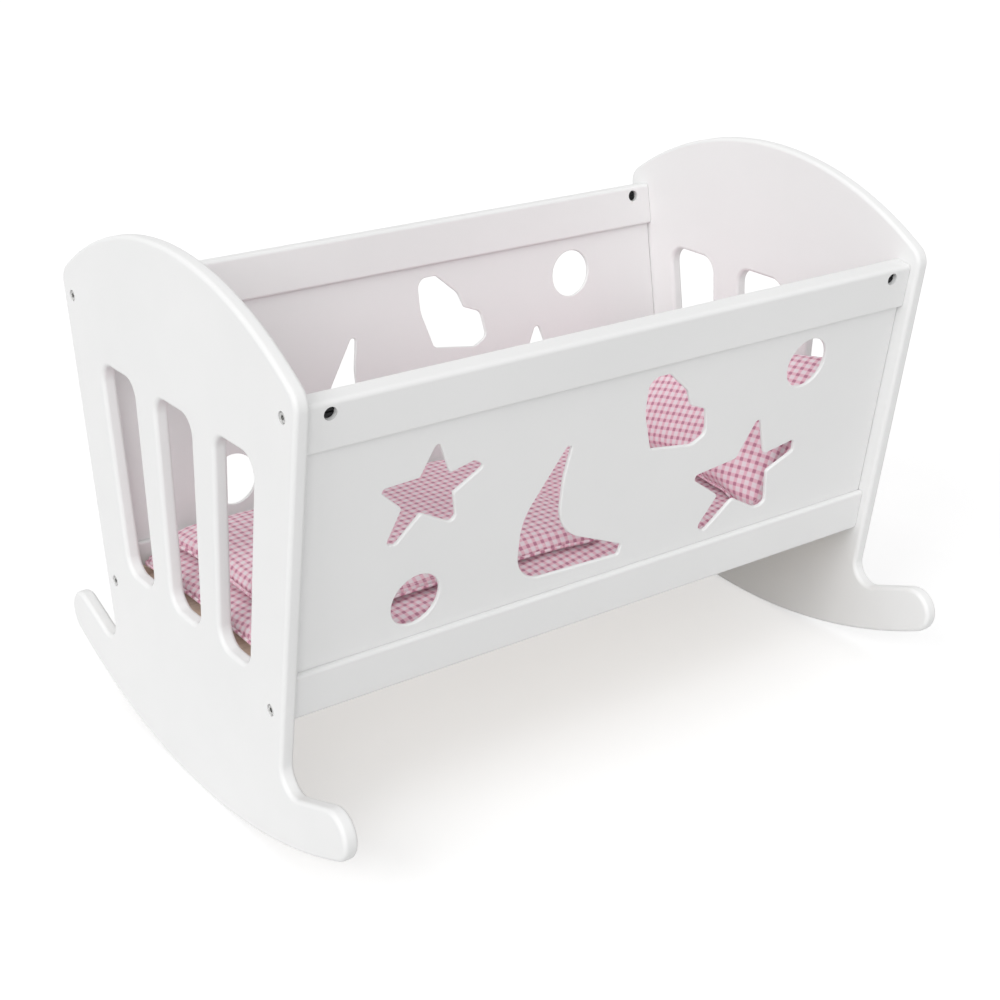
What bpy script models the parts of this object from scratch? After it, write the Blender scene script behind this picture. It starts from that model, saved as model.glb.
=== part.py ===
"""Rocking doll cradle with bedding.

Two rocker end panels are bolted to the rails of two sides that lean outwards. Each side is a
thin pierced panel, held in the slots of a low and a high rail. A base board rests on two
battens, and a mattress, a quilt and a pillow lie on it.

Metres, +Z up. X runs along the cradle and -Y is the front. The origin is on the floor, under
the middle.
"""

from math import asin, atan, atan2, ceil, cos, pi, radians, sin, sqrt, tan

import bmesh
import bpy
from mathutils import Matrix, Vector

# Whole cradle
LENGTH = 0.500
BOTTOM_WIDTH = 0.2302  # over the sides, at their bottom edges
LEAN_SHARE = 0.16  # how far a side leans out, as a share of how far it rises
FIT_GAP = 0.0003  # between pieces that touch
OVERRUN = 0.002  # how far a cut runs past the face that it opens

# Sides
SIDE_THICK = 0.015  # of the rails
SIDE_HEIGHT = 0.2145  # along the slope, over both rails
SIDE_BOTTOM = 0.0979  # above the floor
SIDE_ROUND = 0.003
RAIL_HEIGHT = 0.032
RAIL_SLOT_DEPTH = 0.006
LIP_ROUND = 0.002  # of a rail's front edge, next to the panel
PANEL_THICK = 0.003
PANEL_DEPTH = 0.004  # behind the rails' front faces
PANEL_ROUND = 0.0005

# End panels
END_THICK = 0.010
END_ROUND = 0.003
END_PROUD = 0.0068  # beyond the sides
ARCH_RISE = 0.0589  # of the arch above the sides
ARCH_RADIUS = 0.265
SHOULDER_RADIUS = 0.014
ROCKER_RADIUS = 0.440
REST_WIDTH = 0.036  # of the flat under each rocker, on which the cradle comes to rest
FOOT_RADIUS = 0.0165
FOOT_REACH = 0.175  # from the middle to the centre of the foot's round end
FOOT_SLOPE = radians(20)
NECK_RADIUS = 0.0135
SLOT_LIFT = 0.0256  # above the sides' bottom edges
SLOT_DROP = 0.0427  # below the sides' top edges
SLOT_RADIUS = 0.0125

# Edges of the middle slot and of a side slot, as shares of the end panel's half width there
SLOT_LOW_SHARES = (0.159, 0.359, 0.664)
SLOT_HIGH_SHARES = (0.169, 0.367, 0.697)

# Figures cut through the panels, their spans as shares of the height between the rails
STAR_A_SPAN_SHARE = 0.496
STAR_B_SPAN_SHARE = 0.637
MOON_SPAN_SHARE = 0.643
HEART_SPAN_SHARE = 0.395
OVAL_SPAN_SHARES = (0.244, 0.224)
OVAL_TILT = radians(50)

# Places of the figures' centres, as shares of a side's length and of the height between its rails
STAR_A_PLACE_SHARES = (-0.307, 0.682)
STAR_B_PLACE_SHARES = (0.237, 0.318)
MOON_PLACE_SHARES = (-0.070, 0.395)
HEART_PLACE_SHARES = (0.092, 0.741)
HIGH_OVAL_PLACE_SHARES = (0.329, 0.814)
LOW_OVAL_PLACE_SHARES = (-0.319, 0.175)

# Corners of the figures: across, up and radius, as shares of the figure's span
STAR_A_SHARES = (
    (0.02, 0.46, 0.03), (0.16, 0.12, 0.03), (0.40, 0.18, 0.07), (0.50, 0.10, 0.03),
    (0.21, -0.08, 0.03), (0.27, -0.39, 0.05), (-0.09, -0.19, 0.03), (-0.32, -0.43, 0.05),
    (-0.41, -0.40, 0.04), (-0.28, -0.09, 0.04), (-0.52, 0.13, 0.03), (-0.13, 0.15, 0.03),
)
STAR_B_SHARES = (
    (0.08, 0.45, 0.03), (0.19, 0.10, 0.03), (0.48, 0.15, 0.03), (0.49, 0.05, 0.03),
    (0.25, -0.06, 0.03), (0.29, -0.35, 0.05), (0.19, -0.35, 0.05), (-0.05, -0.21, 0.04),
    (-0.29, -0.42, 0.04), (-0.37, -0.37, 0.04), (-0.21, -0.14, 0.03), (-0.51, 0.08, 0.03),
    (-0.09, 0.13, 0.03),
)
MOON_SHARES = (
    (-0.09, 0.49, 0.02), (-0.13, 0.50, 0.02), (-0.44, 0.02, 0.45), (-0.44, -0.47, 0.23),
    (0.44, -0.50, 0.02), (0.46, -0.42, 0.03), (-0.13, -0.16, 0.44), (-0.13, 0.25, 0.31),
)
HEART_SHARES = (
    (-0.48, 0.50, 0.14), (-0.20, 0.50, 0.08), (0.10, 0.23, 0.14), (0.18, 0.03, 0.05),
    (0.42, -0.07, 0.10), (0.48, -0.40, 0.10), (0.29, -0.50, 0.14), (-0.33, -0.40, 0.07),
    (-0.48, 0.08, 0.51),
)

# Bolts and barrel nuts
BOLT_INSET = 0.0078  # from a side's top or bottom edge
BOLT_LENGTH = 0.030
BOLT_RADIUS = 0.002
BOLT_CHAMFER = 0.0005
HEAD_RADIUS = 0.0035
HEAD_HEIGHT = 0.004
HEAD_SUNK = 0.0005
HEAD_CLEARANCE = 0.0004
SOCKET_RADIUS = 0.0017
SOCKET_DEPTH = 0.002
NUT_INSET = 0.0162  # from a rail's end
NUT_RADIUS = 0.004
NUT_LENGTH = 0.010
NUT_SLOT_WIDTH = 0.0012
NUT_SLOT_DEPTH = 0.001

# Battens, their screws and the base board
BATTEN_RISE = 0.003  # above the sides' bottom edges
BATTEN_HEIGHT = 0.011
BATTEN_WIDTH = 0.012
BATTEN_INSET = 0.015  # from the rails' ends
SCREW_LENGTH = 0.020
SCREW_RADIUS = 0.00175
SCREW_HEAD_RADIUS = 0.0034
SCREW_HEAD_HEIGHT = 0.002
SCREW_POINT = 0.003
SCREW_RECESS_WIDTH = 0.0014
SCREW_RECESS_DEPTH = 0.0008
SCREW_PLACE_SHARES = (-0.38, 0.0, 0.38)  # of the batten's length
BOARD_THICK = 0.004
BOARD_CLEARANCE = 0.0005

# Bedding
MATTRESS_THICK = 0.0138
MATTRESS_END_CLEARANCE = 0.004
MATTRESS_SIDE_CLEARANCE = 0.003
MATTRESS_DRAW = 0.0015  # of its sides between the corners
MATTRESS_CORNER = 0.012
QUILT_LENGTH = 0.262
QUILT_THICK = 0.0118
QUILT_DRAW = 0.003
QUILT_CORNER = 0.022
QUILT_SKEW = 0.004  # of its head edge, at the sides
QUILT_FRONT_CLEARANCE = 0.0251  # from the front side, on the mattress
QUILT_BACK_CLEARANCE = 0.0012
QUILT_END_CLEARANCE = 0.020  # from the foot end panel
PILLOW_LENGTH = 0.132
PILLOW_WIDTH = 0.194
PILLOW_THICK = 0.044
PILLOW_DRAW = 0.006
PILLOW_CORNER = 0.022
PILLOW_SKEW = -0.006  # of its top edge, at the sides
PILLOW_SHIFT = 0.010  # to the front
PILLOW_LEAN = radians(45)

# How squarely the bedding's faces turn down at the edges, along and across
MATTRESS_TOP_POWERS = (14, 8)
QUILT_TOP_POWERS = (9, 6)
PILLOW_POWERS = (2.6, 2.8)
FLAT_POWERS = (30, 20)

# Height of the side seams, as shares of the thickness
MATTRESS_SEAM_SHARE = 0.42
QUILT_SEAM_SHARE = 0.36
PILLOW_SEAM_SHARE = 0.5

# Mesh steps
ROCKER_STEPS = 8
ARCH_STEPS = 16
FOOT_STEPS = 8
CORNER_STEP = radians(28)  # the widest turn between two points of a rounded corner
ROUND_STEPS = 2
OVAL_STEPS = 20
BOLT_STEPS = 12
NUT_STEPS = 12
MATTRESS_STEPS = (20, 12)
QUILT_STEPS = (20, 14)
PILLOW_STEPS = (18, 20)
SMOOTH_ANGLE = radians(40)

# Ends and sides
ENDS = {"left": -1, "right": 1}
SIDES = {"front": -1, "back": 1}

# Sizes that follow from those above
SLOPE = atan(LEAN_SHARE)
SIDE_LENGTH = LENGTH - 2 * (END_THICK + FIT_GAP)
SIDE_TOP = SIDE_BOTTOM + SIDE_HEIGHT * cos(SLOPE)
OPEN_HEIGHT = SIDE_HEIGHT - 2 * RAIL_HEIGHT  # between the rails
HEIGHT = SIDE_TOP + ARCH_RISE
BOLT_HEIGHTS = {"low": BOLT_INSET, "high": SIDE_HEIGHT - BOLT_INSET}  # along the slope
BOLT_END = HEAD_SUNK + HEAD_HEIGHT + BOLT_LENGTH  # from an end panel's outer face
BATTEN_BOTTOM = SIDE_BOTTOM + BATTEN_RISE
BATTEN_TOP = BATTEN_BOTTOM + BATTEN_HEIGHT
BATTEN_LENGTH = SIDE_LENGTH - 2 * BATTEN_INSET
BOARD_BOTTOM = BATTEN_TOP + FIT_GAP
BOARD_TOP = BOARD_BOTTOM + BOARD_THICK
MATTRESS_BOTTOM = BOARD_TOP + FIT_GAP
MATTRESS_TOP = MATTRESS_BOTTOM + MATTRESS_THICK
INNER_END = LENGTH / 2 - END_THICK


def outer_half_width(height):
    """Half the width over the rails' outer faces, at a height above the floor."""
    return BOTTOM_WIDTH / 2 + LEAN_SHARE * (height - SIDE_BOTTOM)


def inner_half_width(height):
    """Half the width between the rails' inner faces, at a height above the floor."""
    return outer_half_width(height) - SIDE_THICK / cos(SLOPE)


def end_half_width(height):
    """Half the width of an end panel between its feet and its shoulders."""
    return outer_half_width(height) + END_PROUD


# Outlines, as lists of (across, up)


def arc(centre, radius, start, end, steps):
    """Points on an arc from one angle to the other, with both ends."""
    angles = [start + (end - start) * index / steps for index in range(steps + 1)]
    return [(centre[0] + radius * cos(angle), centre[1] + radius * sin(angle)) for angle in angles]


def round_corner(before, corner, after, radius):
    """Arc that rounds one corner of an outline, as far as half of its shorter side."""
    corner = Vector(corner)
    back = Vector(before) - corner
    ahead = Vector(after) - corner
    half = back.angle(ahead) / 2
    reach = min(radius / tan(half), back.length / 2, ahead.length / 2)
    radius = reach * tan(half)
    centre = corner + (back.normalized() + ahead.normalized()).normalized() * radius / sin(half)
    first = corner + back.normalized() * reach - centre
    last = corner + ahead.normalized() * reach - centre
    start = atan2(first.y, first.x)
    turn = (atan2(last.y, last.x) - start + pi) % (2 * pi) - pi
    return arc(centre, radius, start, start + turn, max(1, ceil(abs(turn) / CORNER_STEP)))


def rounded(corners):
    """Closed outline through corners, each given as across, up and radius."""
    points = []
    for index, (across, up, radius) in enumerate(corners):
        before = corners[index - 1][:2]
        after = corners[(index + 1) % len(corners)][:2]
        points += round_corner(before, (across, up), after, radius)
    return points


def anticlockwise(outline):
    """The outline, turned round if it runs clockwise."""
    following = outline[1:] + outline[:1]
    area = sum(here[0] * there[1] - there[0] * here[1] for here, there in zip(outline, following))
    return outline if area > 0 else outline[::-1]


def grown(outline, distance):
    """An anticlockwise outline, moved out by a distance at every point."""
    points = []
    for index, point in enumerate(outline):
        here = Vector(point)
        incoming = (here - Vector(outline[index - 1])).normalized()
        outgoing = (Vector(outline[(index + 1) % len(outline)]) - here).normalized()
        along = (incoming + outgoing).normalized()
        stretch = distance / along.dot(outgoing)
        points.append((here.x + along.y * stretch, here.y - along.x * stretch))
    return points


# Scene and meshes


def clear_scene():
    """Remove every object."""
    for item in list(bpy.data.objects):
        bpy.data.objects.remove(item, do_unlink=True)


def material(name, colour, roughness, metallic):
    """A plain finish."""
    finish = bpy.data.materials.new(name)
    finish.use_nodes = True
    shader = finish.node_tree.nodes["Principled BSDF"]
    shader.inputs["Base Color"].default_value = (*colour, 1.0)
    shader.inputs["Roughness"].default_value = roughness
    shader.inputs["Metallic"].default_value = metallic
    finish.diffuse_color = (*colour, 1.0)
    return finish


def add_object(name, mesh, finish=None, parent=None, location=(0, 0, 0), rotation=(0, 0, 0)):
    """Put a mesh in the scene, with its finish if it has none."""
    item = bpy.data.objects.new(name, mesh)
    bpy.context.scene.collection.objects.link(item)
    item.parent = parent
    item.location = location
    item.rotation_euler = rotation
    if finish and not mesh.materials:
        mesh.materials.append(finish)
    return item


def finished_mesh(name, shape):
    """Turn a bmesh into a mesh with its faces out and its round parts smooth."""
    bmesh.ops.recalc_face_normals(shape, faces=shape.faces)
    if shape.calc_volume(signed=True) < 0:
        bmesh.ops.reverse_faces(shape, faces=shape.faces)
    mesh = bpy.data.meshes.new(name)
    shape.to_mesh(mesh)
    shape.free()
    mesh.shade_smooth()
    mesh.set_sharp_from_angle(angle=SMOOTH_ANGLE)
    return mesh


def join_loops(shape, loops):
    """Skin of faces between closed loops of vertices."""
    for low, high in zip(loops, loops[1:]):
        for index in range(len(low)):
            following = (index + 1) % len(low)
            shape.faces.new((low[index], low[following], high[following], high[index]))


def stacked_mesh(name, rings, levels, place):
    """Closed body through levels of (depth, growth), around an outline and its holes.

    The first ring is the outline. place gives the point for a depth and an outline's point.
    """
    shape = bmesh.new()
    ends = ([], [])
    for number, ring in enumerate(rings):
        loops = []
        for depth, growth in levels:
            points = grown(ring, -growth if number else growth)
            loops.append([shape.verts.new(place(depth, *point)) for point in points])
        join_loops(shape, loops)
        for end, loop in zip(ends, (loops[0], loops[-1])):
            for index, corner in enumerate(loop):
                end.append(shape.edges.get((corner, loop[index - 1])))
    for end in ends:
        bmesh.ops.triangle_fill(shape, use_beauty=True, edges=end)
    return finished_mesh(name, shape)


def turned_mesh(name, profile, steps, sides=0):
    """Body turned about X from a profile of (along, radius), closed by a flat at each end.

    With a number of sides, the first two rings are a socket with that many flats.
    """
    shape = bmesh.new()
    loops = []
    for number, (along, radius) in enumerate(profile):
        loop = []
        for index in range(steps):
            angle = 2 * pi * index / steps
            reach = radius
            if sides and number < 2:
                off_corner = (angle + pi / sides) % (2 * pi / sides) - pi / sides
                reach = radius * cos(pi / sides) / cos(pi / sides - abs(off_corner))
            loop.append(shape.verts.new((along, reach * cos(angle), reach * sin(angle))))
        loops.append(loop)
    join_loops(shape, loops)
    shape.faces.new(loops[0])
    shape.faces.new(loops[-1])
    return finished_mesh(name, shape)


def box_mesh(name, low, high):
    """A plain box between two corners."""
    shape = bmesh.new()
    bmesh.ops.create_cube(shape, size=1)
    low = Vector(low)
    high = Vector(high)
    fitting = Matrix.Translation((low + high) / 2) @ Matrix.Diagonal((*(high - low), 1))
    bmesh.ops.transform(shape, verts=shape.verts, matrix=fitting)
    return finished_mesh(name, shape)


def cut_mesh(blank, cutters):
    """The mesh that is left when cutters are taken from a blank. All of them are used up."""
    for cutter in cutters:
        cut = blank.modifiers.new(cutter.name, "BOOLEAN")
        cut.operation = "DIFFERENCE"
        cut.solver = "EXACT"
        cut.object = cutter
    bpy.context.view_layer.update()
    evaluated = blank.evaluated_get(bpy.context.evaluated_depsgraph_get())
    mesh = bpy.data.meshes.new_from_object(evaluated)
    mesh.name = blank.name
    mesh.materials.clear()
    for item in [blank, *cutters]:
        bpy.data.objects.remove(item, do_unlink=True)
    mesh.shade_smooth()
    mesh.set_sharp_from_angle(angle=SMOOTH_ANGLE)
    return mesh


# End panels


def end_outline():
    """Outline of an end panel: rocker, feet, necks, leaning edges and arch."""
    reach = ROCKER_RADIUS - FOOT_RADIUS
    swing = asin(FOOT_REACH / reach)
    rest = asin(REST_WIDTH / 2 / ROCKER_RADIUS)
    rocker_centre = ROCKER_RADIUS * cos(rest)
    half = arc((0, rocker_centre), ROCKER_RADIUS, rest - pi / 2, swing - pi / 2, ROCKER_STEPS)
    foot = (FOOT_REACH, rocker_centre - reach * cos(swing))
    half += arc(foot, FOOT_RADIUS, swing - pi / 2, FOOT_SLOPE + pi / 2, FOOT_STEPS)[1:]

    foot_top = half[-1]
    run = (foot_top[0] - end_half_width(foot_top[1])) / (1 - LEAN_SHARE * tan(FOOT_SLOPE))
    neck = (foot_top[0] - run, foot_top[1] - run * tan(FOOT_SLOPE))
    half += round_corner(foot_top, neck, (end_half_width(SIDE_TOP), SIDE_TOP), NECK_RADIUS)

    arch_centre = HEIGHT - ARCH_RADIUS
    inward = Vector((-cos(SLOPE), sin(SLOPE)))
    upward = Vector((sin(SLOPE), cos(SLOPE)))
    start = Vector((end_half_width(0), -arch_centre)) + inward * SHOULDER_RADIUS
    climb = start.dot(upward)
    rise = sqrt((ARCH_RADIUS - SHOULDER_RADIUS) ** 2 - start.length_squared + climb ** 2) - climb
    shoulder = start + upward * rise
    turn = atan2(shoulder.y, shoulder.x)
    steps = ceil((turn + SLOPE) / CORNER_STEP)
    half += arc((shoulder.x, shoulder.y + arch_centre), SHOULDER_RADIUS, -SLOPE, turn, steps)
    half += arc((0, arch_centre), ARCH_RADIUS, turn, pi / 2, ARCH_STEPS // 2)[1:-1]
    return half + [(0, HEIGHT)] + [(-across, up) for across, up in reversed(half)]


def slot_outlines():
    """The middle slot and the two side slots, wider at the top."""
    low = SIDE_BOTTOM + SLOT_LIFT
    high = SIDE_TOP - SLOT_DROP
    low_middle, low_near, low_far = (share * end_half_width(low) for share in SLOT_LOW_SHARES)
    high_middle, high_near, high_far = (share * end_half_width(high) for share in SLOT_HIGH_SHARES)
    slots = (
        ((-low_middle, low), (low_middle, low), (high_middle, high), (-high_middle, high)),
        ((low_near, low), (low_far, low), (high_far, high), (high_near, high)),
        ((-low_far, low), (-low_near, low), (-high_near, high), (-high_far, high)),
    )
    return [rounded([(*corner, SLOT_RADIUS) for corner in slot]) for slot in slots]


def end_panel_mesh():
    """An end panel with its outer face at X = 0, its slots and its bolt holes."""
    levels = []
    for index in range(ROUND_STEPS + 1):
        angle = pi / 2 * index / ROUND_STEPS
        levels.append((END_ROUND * (1 - cos(angle)), -END_ROUND * (1 - sin(angle))))
    levels += [(END_THICK - depth, growth) for depth, growth in reversed(levels)]
    rings = [end_outline(), *slot_outlines()]
    blank = add_object("end_panel", stacked_mesh("end_panel", rings, levels, lambda x, y, z: (x, y, z)))

    head_seat = HEAD_SUNK + HEAD_HEIGHT + FIT_GAP
    hole = turned_mesh("bolt_hole", (
        (-OVERRUN, HEAD_RADIUS + HEAD_CLEARANCE), (head_seat, HEAD_RADIUS + HEAD_CLEARANCE),
        (head_seat, BOLT_RADIUS + HEAD_CLEARANCE), (END_THICK + OVERRUN, BOLT_RADIUS + HEAD_CLEARANCE),
    ), BOLT_STEPS)
    cutters = []
    for along in BOLT_HEIGHTS.values():
        height = SIDE_BOTTOM + along * cos(SLOPE) + SIDE_THICK / 2 * sin(SLOPE)
        across = BOTTOM_WIDTH / 2 + along * sin(SLOPE) - SIDE_THICK / 2 * cos(SLOPE)
        for side in SIDES.values():
            cutters.append(add_object("bolt_hole", hole, location=(0, side * across, height)))
    return cut_mesh(blank, cutters)


def add_end_panels(finish):
    """The two end panels, their outer faces outwards."""
    mesh = end_panel_mesh()
    for name, end in ENDS.items():
        turn = 0 if end < 0 else pi
        add_object(f"end_panel_{name}", mesh, finish, location=(end * LENGTH / 2, 0, 0), rotation=(0, 0, turn))


# Sides


def side_frame(name, side):
    """Empty on a side's front face, at its bottom edge, leaning with the side.

    The front faces of both sides look to the front. X runs along a side, Y into it and Z up its
    slope.
    """
    behind = SIDE_THICK if side > 0 else 0
    across = side * BOTTOM_WIDTH / 2 - behind * cos(SLOPE)
    height = SIDE_BOTTOM + behind * sin(SLOPE)
    return add_object(name, None, location=(0, across, height), rotation=(-side * SLOPE, 0, 0))


def rail_section(level):
    """Section of a rail as (depth, up), with rounded edges and the slot that holds the panel."""
    points = rounded((
        (0, 0, SIDE_ROUND), (SIDE_THICK, 0, SIDE_ROUND),
        (SIDE_THICK, RAIL_HEIGHT, SIDE_ROUND), (0, RAIL_HEIGHT, LIP_ROUND),
    ))
    near = PANEL_DEPTH - FIT_GAP
    far = PANEL_DEPTH + PANEL_THICK + FIT_GAP
    floor = RAIL_HEIGHT - RAIL_SLOT_DEPTH - FIT_GAP
    slot = [(far, RAIL_HEIGHT), (far, floor), (near, floor), (near, RAIL_HEIGHT)]
    fourth_corner = len(points) * 3 // 4
    points[fourth_corner:fourth_corner] = slot
    if level == "high":
        points = [(depth, SIDE_HEIGHT - up) for depth, up in points]
    return points


def rail_blank(name, level, parent):
    """A rail without its holes."""
    points = rail_section(level)
    shape = bmesh.new()
    ends = (-SIDE_LENGTH / 2, SIDE_LENGTH / 2)
    loops = [[shape.verts.new((x, *point)) for point in points] for x in ends]
    join_loops(shape, loops)
    for loop in loops:
        shape.faces.new(loop)
    return add_object(name, finished_mesh(name, shape), parent=parent)


def figure(shares, span_share, place_shares):
    """Outline of a figure in a panel, from its corners' shares, its span and its place."""
    span = span_share * OPEN_HEIGHT
    across = place_shares[0] * SIDE_LENGTH
    up = RAIL_HEIGHT + place_shares[1] * OPEN_HEIGHT
    corners = [(across + x * span, up + y * span, radius * span) for x, y, radius in shares]
    return anticlockwise(rounded(corners))


def oval(place_shares):
    """Outline of an oval opening in a panel."""
    across = place_shares[0] * SIDE_LENGTH
    up = RAIL_HEIGHT + place_shares[1] * OPEN_HEIGHT
    long_share, short_share = OVAL_SPAN_SHARES
    points = []
    for x, y in arc((0, 0), 1, 0, 2 * pi, OVAL_STEPS)[:-1]:
        long_way = x * long_share * OPEN_HEIGHT / 2
        short_way = y * short_share * OPEN_HEIGHT / 2
        points.append((
            across + long_way * cos(OVAL_TILT) - short_way * sin(OVAL_TILT),
            up + long_way * sin(OVAL_TILT) + short_way * cos(OVAL_TILT),
        ))
    return points


def panel_mesh():
    """A thin panel with its two stars, moon, heart and two ovals, in the frame of its side."""
    half_length = SIDE_LENGTH / 2
    low = RAIL_HEIGHT - RAIL_SLOT_DEPTH
    high = SIDE_HEIGHT - low
    rings = (
        [(-half_length, low), (half_length, low), (half_length, high), (-half_length, high)],
        figure(STAR_A_SHARES, STAR_A_SPAN_SHARE, STAR_A_PLACE_SHARES),
        figure(STAR_B_SHARES, STAR_B_SPAN_SHARE, STAR_B_PLACE_SHARES),
        figure(MOON_SHARES, MOON_SPAN_SHARE, MOON_PLACE_SHARES),
        figure(HEART_SHARES, HEART_SPAN_SHARE, HEART_PLACE_SHARES),
        oval(HIGH_OVAL_PLACE_SHARES),
        oval(LOW_OVAL_PLACE_SHARES),
    )
    levels = [(0, -PANEL_ROUND), (PANEL_ROUND, 0)]
    levels += [(PANEL_THICK - depth, growth) for depth, growth in reversed(levels)]
    return stacked_mesh("panel", rings, levels, lambda depth, x, z: (x, PANEL_DEPTH + depth, z))


def nut_rotation(level, spin=0):
    """Rotation of a barrel nut or its hole: into the front face, or up from the bottom edge."""
    return (spin, 0, pi / 2) if level == "high" else (spin, -pi / 2, 0)


def fastener_cutters(level, parent):
    """Cutters for the bolts and the barrel nuts of a rail."""
    bolt_reach = BOLT_END - END_THICK
    nut_reach = (BOLT_INSET if level == "low" else SIDE_THICK / 2) + NUT_LENGTH / 2 + FIT_GAP
    bolt_profile = ((-OVERRUN, BOLT_RADIUS + HEAD_CLEARANCE), (bolt_reach, BOLT_RADIUS + HEAD_CLEARANCE))
    nut_profile = ((-OVERRUN, NUT_RADIUS + FIT_GAP), (nut_reach, NUT_RADIUS + FIT_GAP))
    bolt_hole = turned_mesh("bolt_hole", bolt_profile, BOLT_STEPS)
    nut_hole = turned_mesh("nut_hole", nut_profile, NUT_STEPS)
    up = BOLT_HEIGHTS[level]
    cutters = []
    for end in ENDS.values():
        face = (end * SIDE_LENGTH / 2, SIDE_THICK / 2, up)
        inset = end * (SIDE_LENGTH / 2 - NUT_INSET)
        mouth = (inset, 0, up) if level == "high" else (inset, SIDE_THICK / 2, 0)
        turn = 0 if end < 0 else pi
        cutters.append(add_object("bolt_hole", bolt_hole, parent=parent, location=face, rotation=(0, 0, turn)))
        rotation = nut_rotation(level)
        cutters.append(add_object("nut_hole", nut_hole, parent=parent, location=mouth, rotation=rotation))
    return cutters


def add_side(name, side, panel, finish):
    """A side's panel and rails in its leaning frame, which is returned."""
    frame = side_frame(f"{name}_frame", side)
    add_object(f"side_panel_{name}", panel, finish, parent=frame)
    screw_hole = turned_mesh("screw_hole", screw_profile(FIT_GAP), BOLT_STEPS)
    for level in BOLT_HEIGHTS:
        rail_name = f"side_rail_{name}_{level}"
        cutters = fastener_cutters(level, frame)
        if level == "low":
            for location, rotation in screw_places(side):
                cutters.append(add_object("screw_hole", screw_hole, location=location, rotation=rotation))
        add_object(rail_name, cut_mesh(rail_blank(rail_name, level, frame), cutters), finish, parent=frame)
    return frame


# Bolts and barrel nuts


def bolt_mesh():
    """A socket-head bolt along X, with the top of its head at X = 0."""
    tip = HEAD_HEIGHT + BOLT_LENGTH
    return turned_mesh("bolt", (
        (SOCKET_DEPTH, SOCKET_RADIUS), (0, SOCKET_RADIUS), (0, HEAD_RADIUS - BOLT_CHAMFER),
        (BOLT_CHAMFER, HEAD_RADIUS), (HEAD_HEIGHT, HEAD_RADIUS), (HEAD_HEIGHT, BOLT_RADIUS),
        (tip - BOLT_CHAMFER, BOLT_RADIUS), (tip, BOLT_RADIUS - BOLT_CHAMFER),
    ), BOLT_STEPS, sides=6)


def nut_mesh():
    """A barrel nut along X about its middle, with a cross hole along Z and a slot in one end."""
    half = NUT_LENGTH / 2
    profile = ((-half, NUT_RADIUS), (half, NUT_RADIUS))
    blank = add_object("barrel_nut", turned_mesh("barrel_nut", profile, NUT_STEPS))
    reach = NUT_RADIUS + OVERRUN
    profile = ((-reach, BOLT_RADIUS + FIT_GAP), (reach, BOLT_RADIUS + FIT_GAP))
    cross = add_object("cross_hole", turned_mesh("cross_hole", profile, BOLT_STEPS), rotation=(0, pi / 2, 0))
    low = (-half - OVERRUN, -NUT_SLOT_WIDTH / 2, -reach)
    high = (-half + NUT_SLOT_DEPTH, NUT_SLOT_WIDTH / 2, reach)
    slot = add_object("driver_slot", box_mesh("driver_slot", low, high))
    return cut_mesh(blank, [cross, slot])


def add_fasteners(side_name, frame, finish, bolt, nut):
    """The four bolts and the four barrel nuts of one side."""
    for end_name, end in ENDS.items():
        for level, up in BOLT_HEIGHTS.items():
            place = f"{end_name}_{side_name}_{level}"
            head = (end * (LENGTH / 2 - HEAD_SUNK), SIDE_THICK / 2, up)
            middle = (end * (SIDE_LENGTH / 2 - NUT_INSET), SIDE_THICK / 2, up)
            turn = 0 if end < 0 else pi
            spin = pi / 2 if level == "high" else 0
            add_object(f"bolt_{place}", bolt, finish, frame, head, (0, 0, turn))
            add_object(f"barrel_nut_{place}", nut, finish, frame, middle, nut_rotation(level, spin))


# Battens, their screws and the base board


def screw_profile(clearance=0):
    """Profile of a countersunk screw along X, with the top of its head at X = 0."""
    return (
        (-clearance, SCREW_HEAD_RADIUS + clearance), (0, SCREW_HEAD_RADIUS + clearance),
        (SCREW_HEAD_HEIGHT, SCREW_RADIUS + clearance), (SCREW_LENGTH - SCREW_POINT, SCREW_RADIUS + clearance),
        (SCREW_LENGTH + clearance, SCREW_RADIUS / 4 + clearance),
    )[0 if clearance else 1:]


def screw_places(side):
    """Locations and rotations of the screws through a batten, level and outwards."""
    height = BATTEN_BOTTOM + BATTEN_HEIGHT / 2
    across = batten_inner_half_width() + FIT_GAP
    return [
        ((share * BATTEN_LENGTH, side * across, height), (0, 0, side * pi / 2))
        for share in SCREW_PLACE_SHARES
    ]


def screw_mesh():
    """A countersunk screw with a slot across its head."""
    blank = add_object("batten_screw", turned_mesh("batten_screw", screw_profile(), BOLT_STEPS))
    low = (-OVERRUN, -SCREW_HEAD_RADIUS - OVERRUN, -SCREW_RECESS_WIDTH / 2)
    high = (SCREW_RECESS_DEPTH, SCREW_HEAD_RADIUS + OVERRUN, SCREW_RECESS_WIDTH / 2)
    return cut_mesh(blank, [add_object("driver_slot", box_mesh("driver_slot", low, high))])


def batten_inner_half_width():
    """Half the width between the battens' upright faces."""
    return inner_half_width(BATTEN_BOTTOM) - FIT_GAP / cos(SLOPE) - BATTEN_WIDTH


def batten_mesh():
    """The back batten, whose outer face leans with the side."""
    inner = batten_inner_half_width()
    section = (
        (inner, BATTEN_BOTTOM), (inner + BATTEN_WIDTH, BATTEN_BOTTOM),
        (inner + BATTEN_WIDTH + LEAN_SHARE * BATTEN_HEIGHT, BATTEN_TOP), (inner, BATTEN_TOP),
    )
    levels = ((-BATTEN_LENGTH / 2, 0), (BATTEN_LENGTH / 2, 0))
    blank = add_object("batten", stacked_mesh("batten", [section], levels, lambda x, y, z: (x, y, z)))
    screw_hole = turned_mesh("screw_hole", screw_profile(FIT_GAP), BOLT_STEPS)
    cutters = []
    for location, rotation in screw_places(SIDES["back"]):
        cutters.append(add_object("screw_hole", screw_hole, location=location, rotation=rotation))
    return cut_mesh(blank, cutters)


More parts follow.
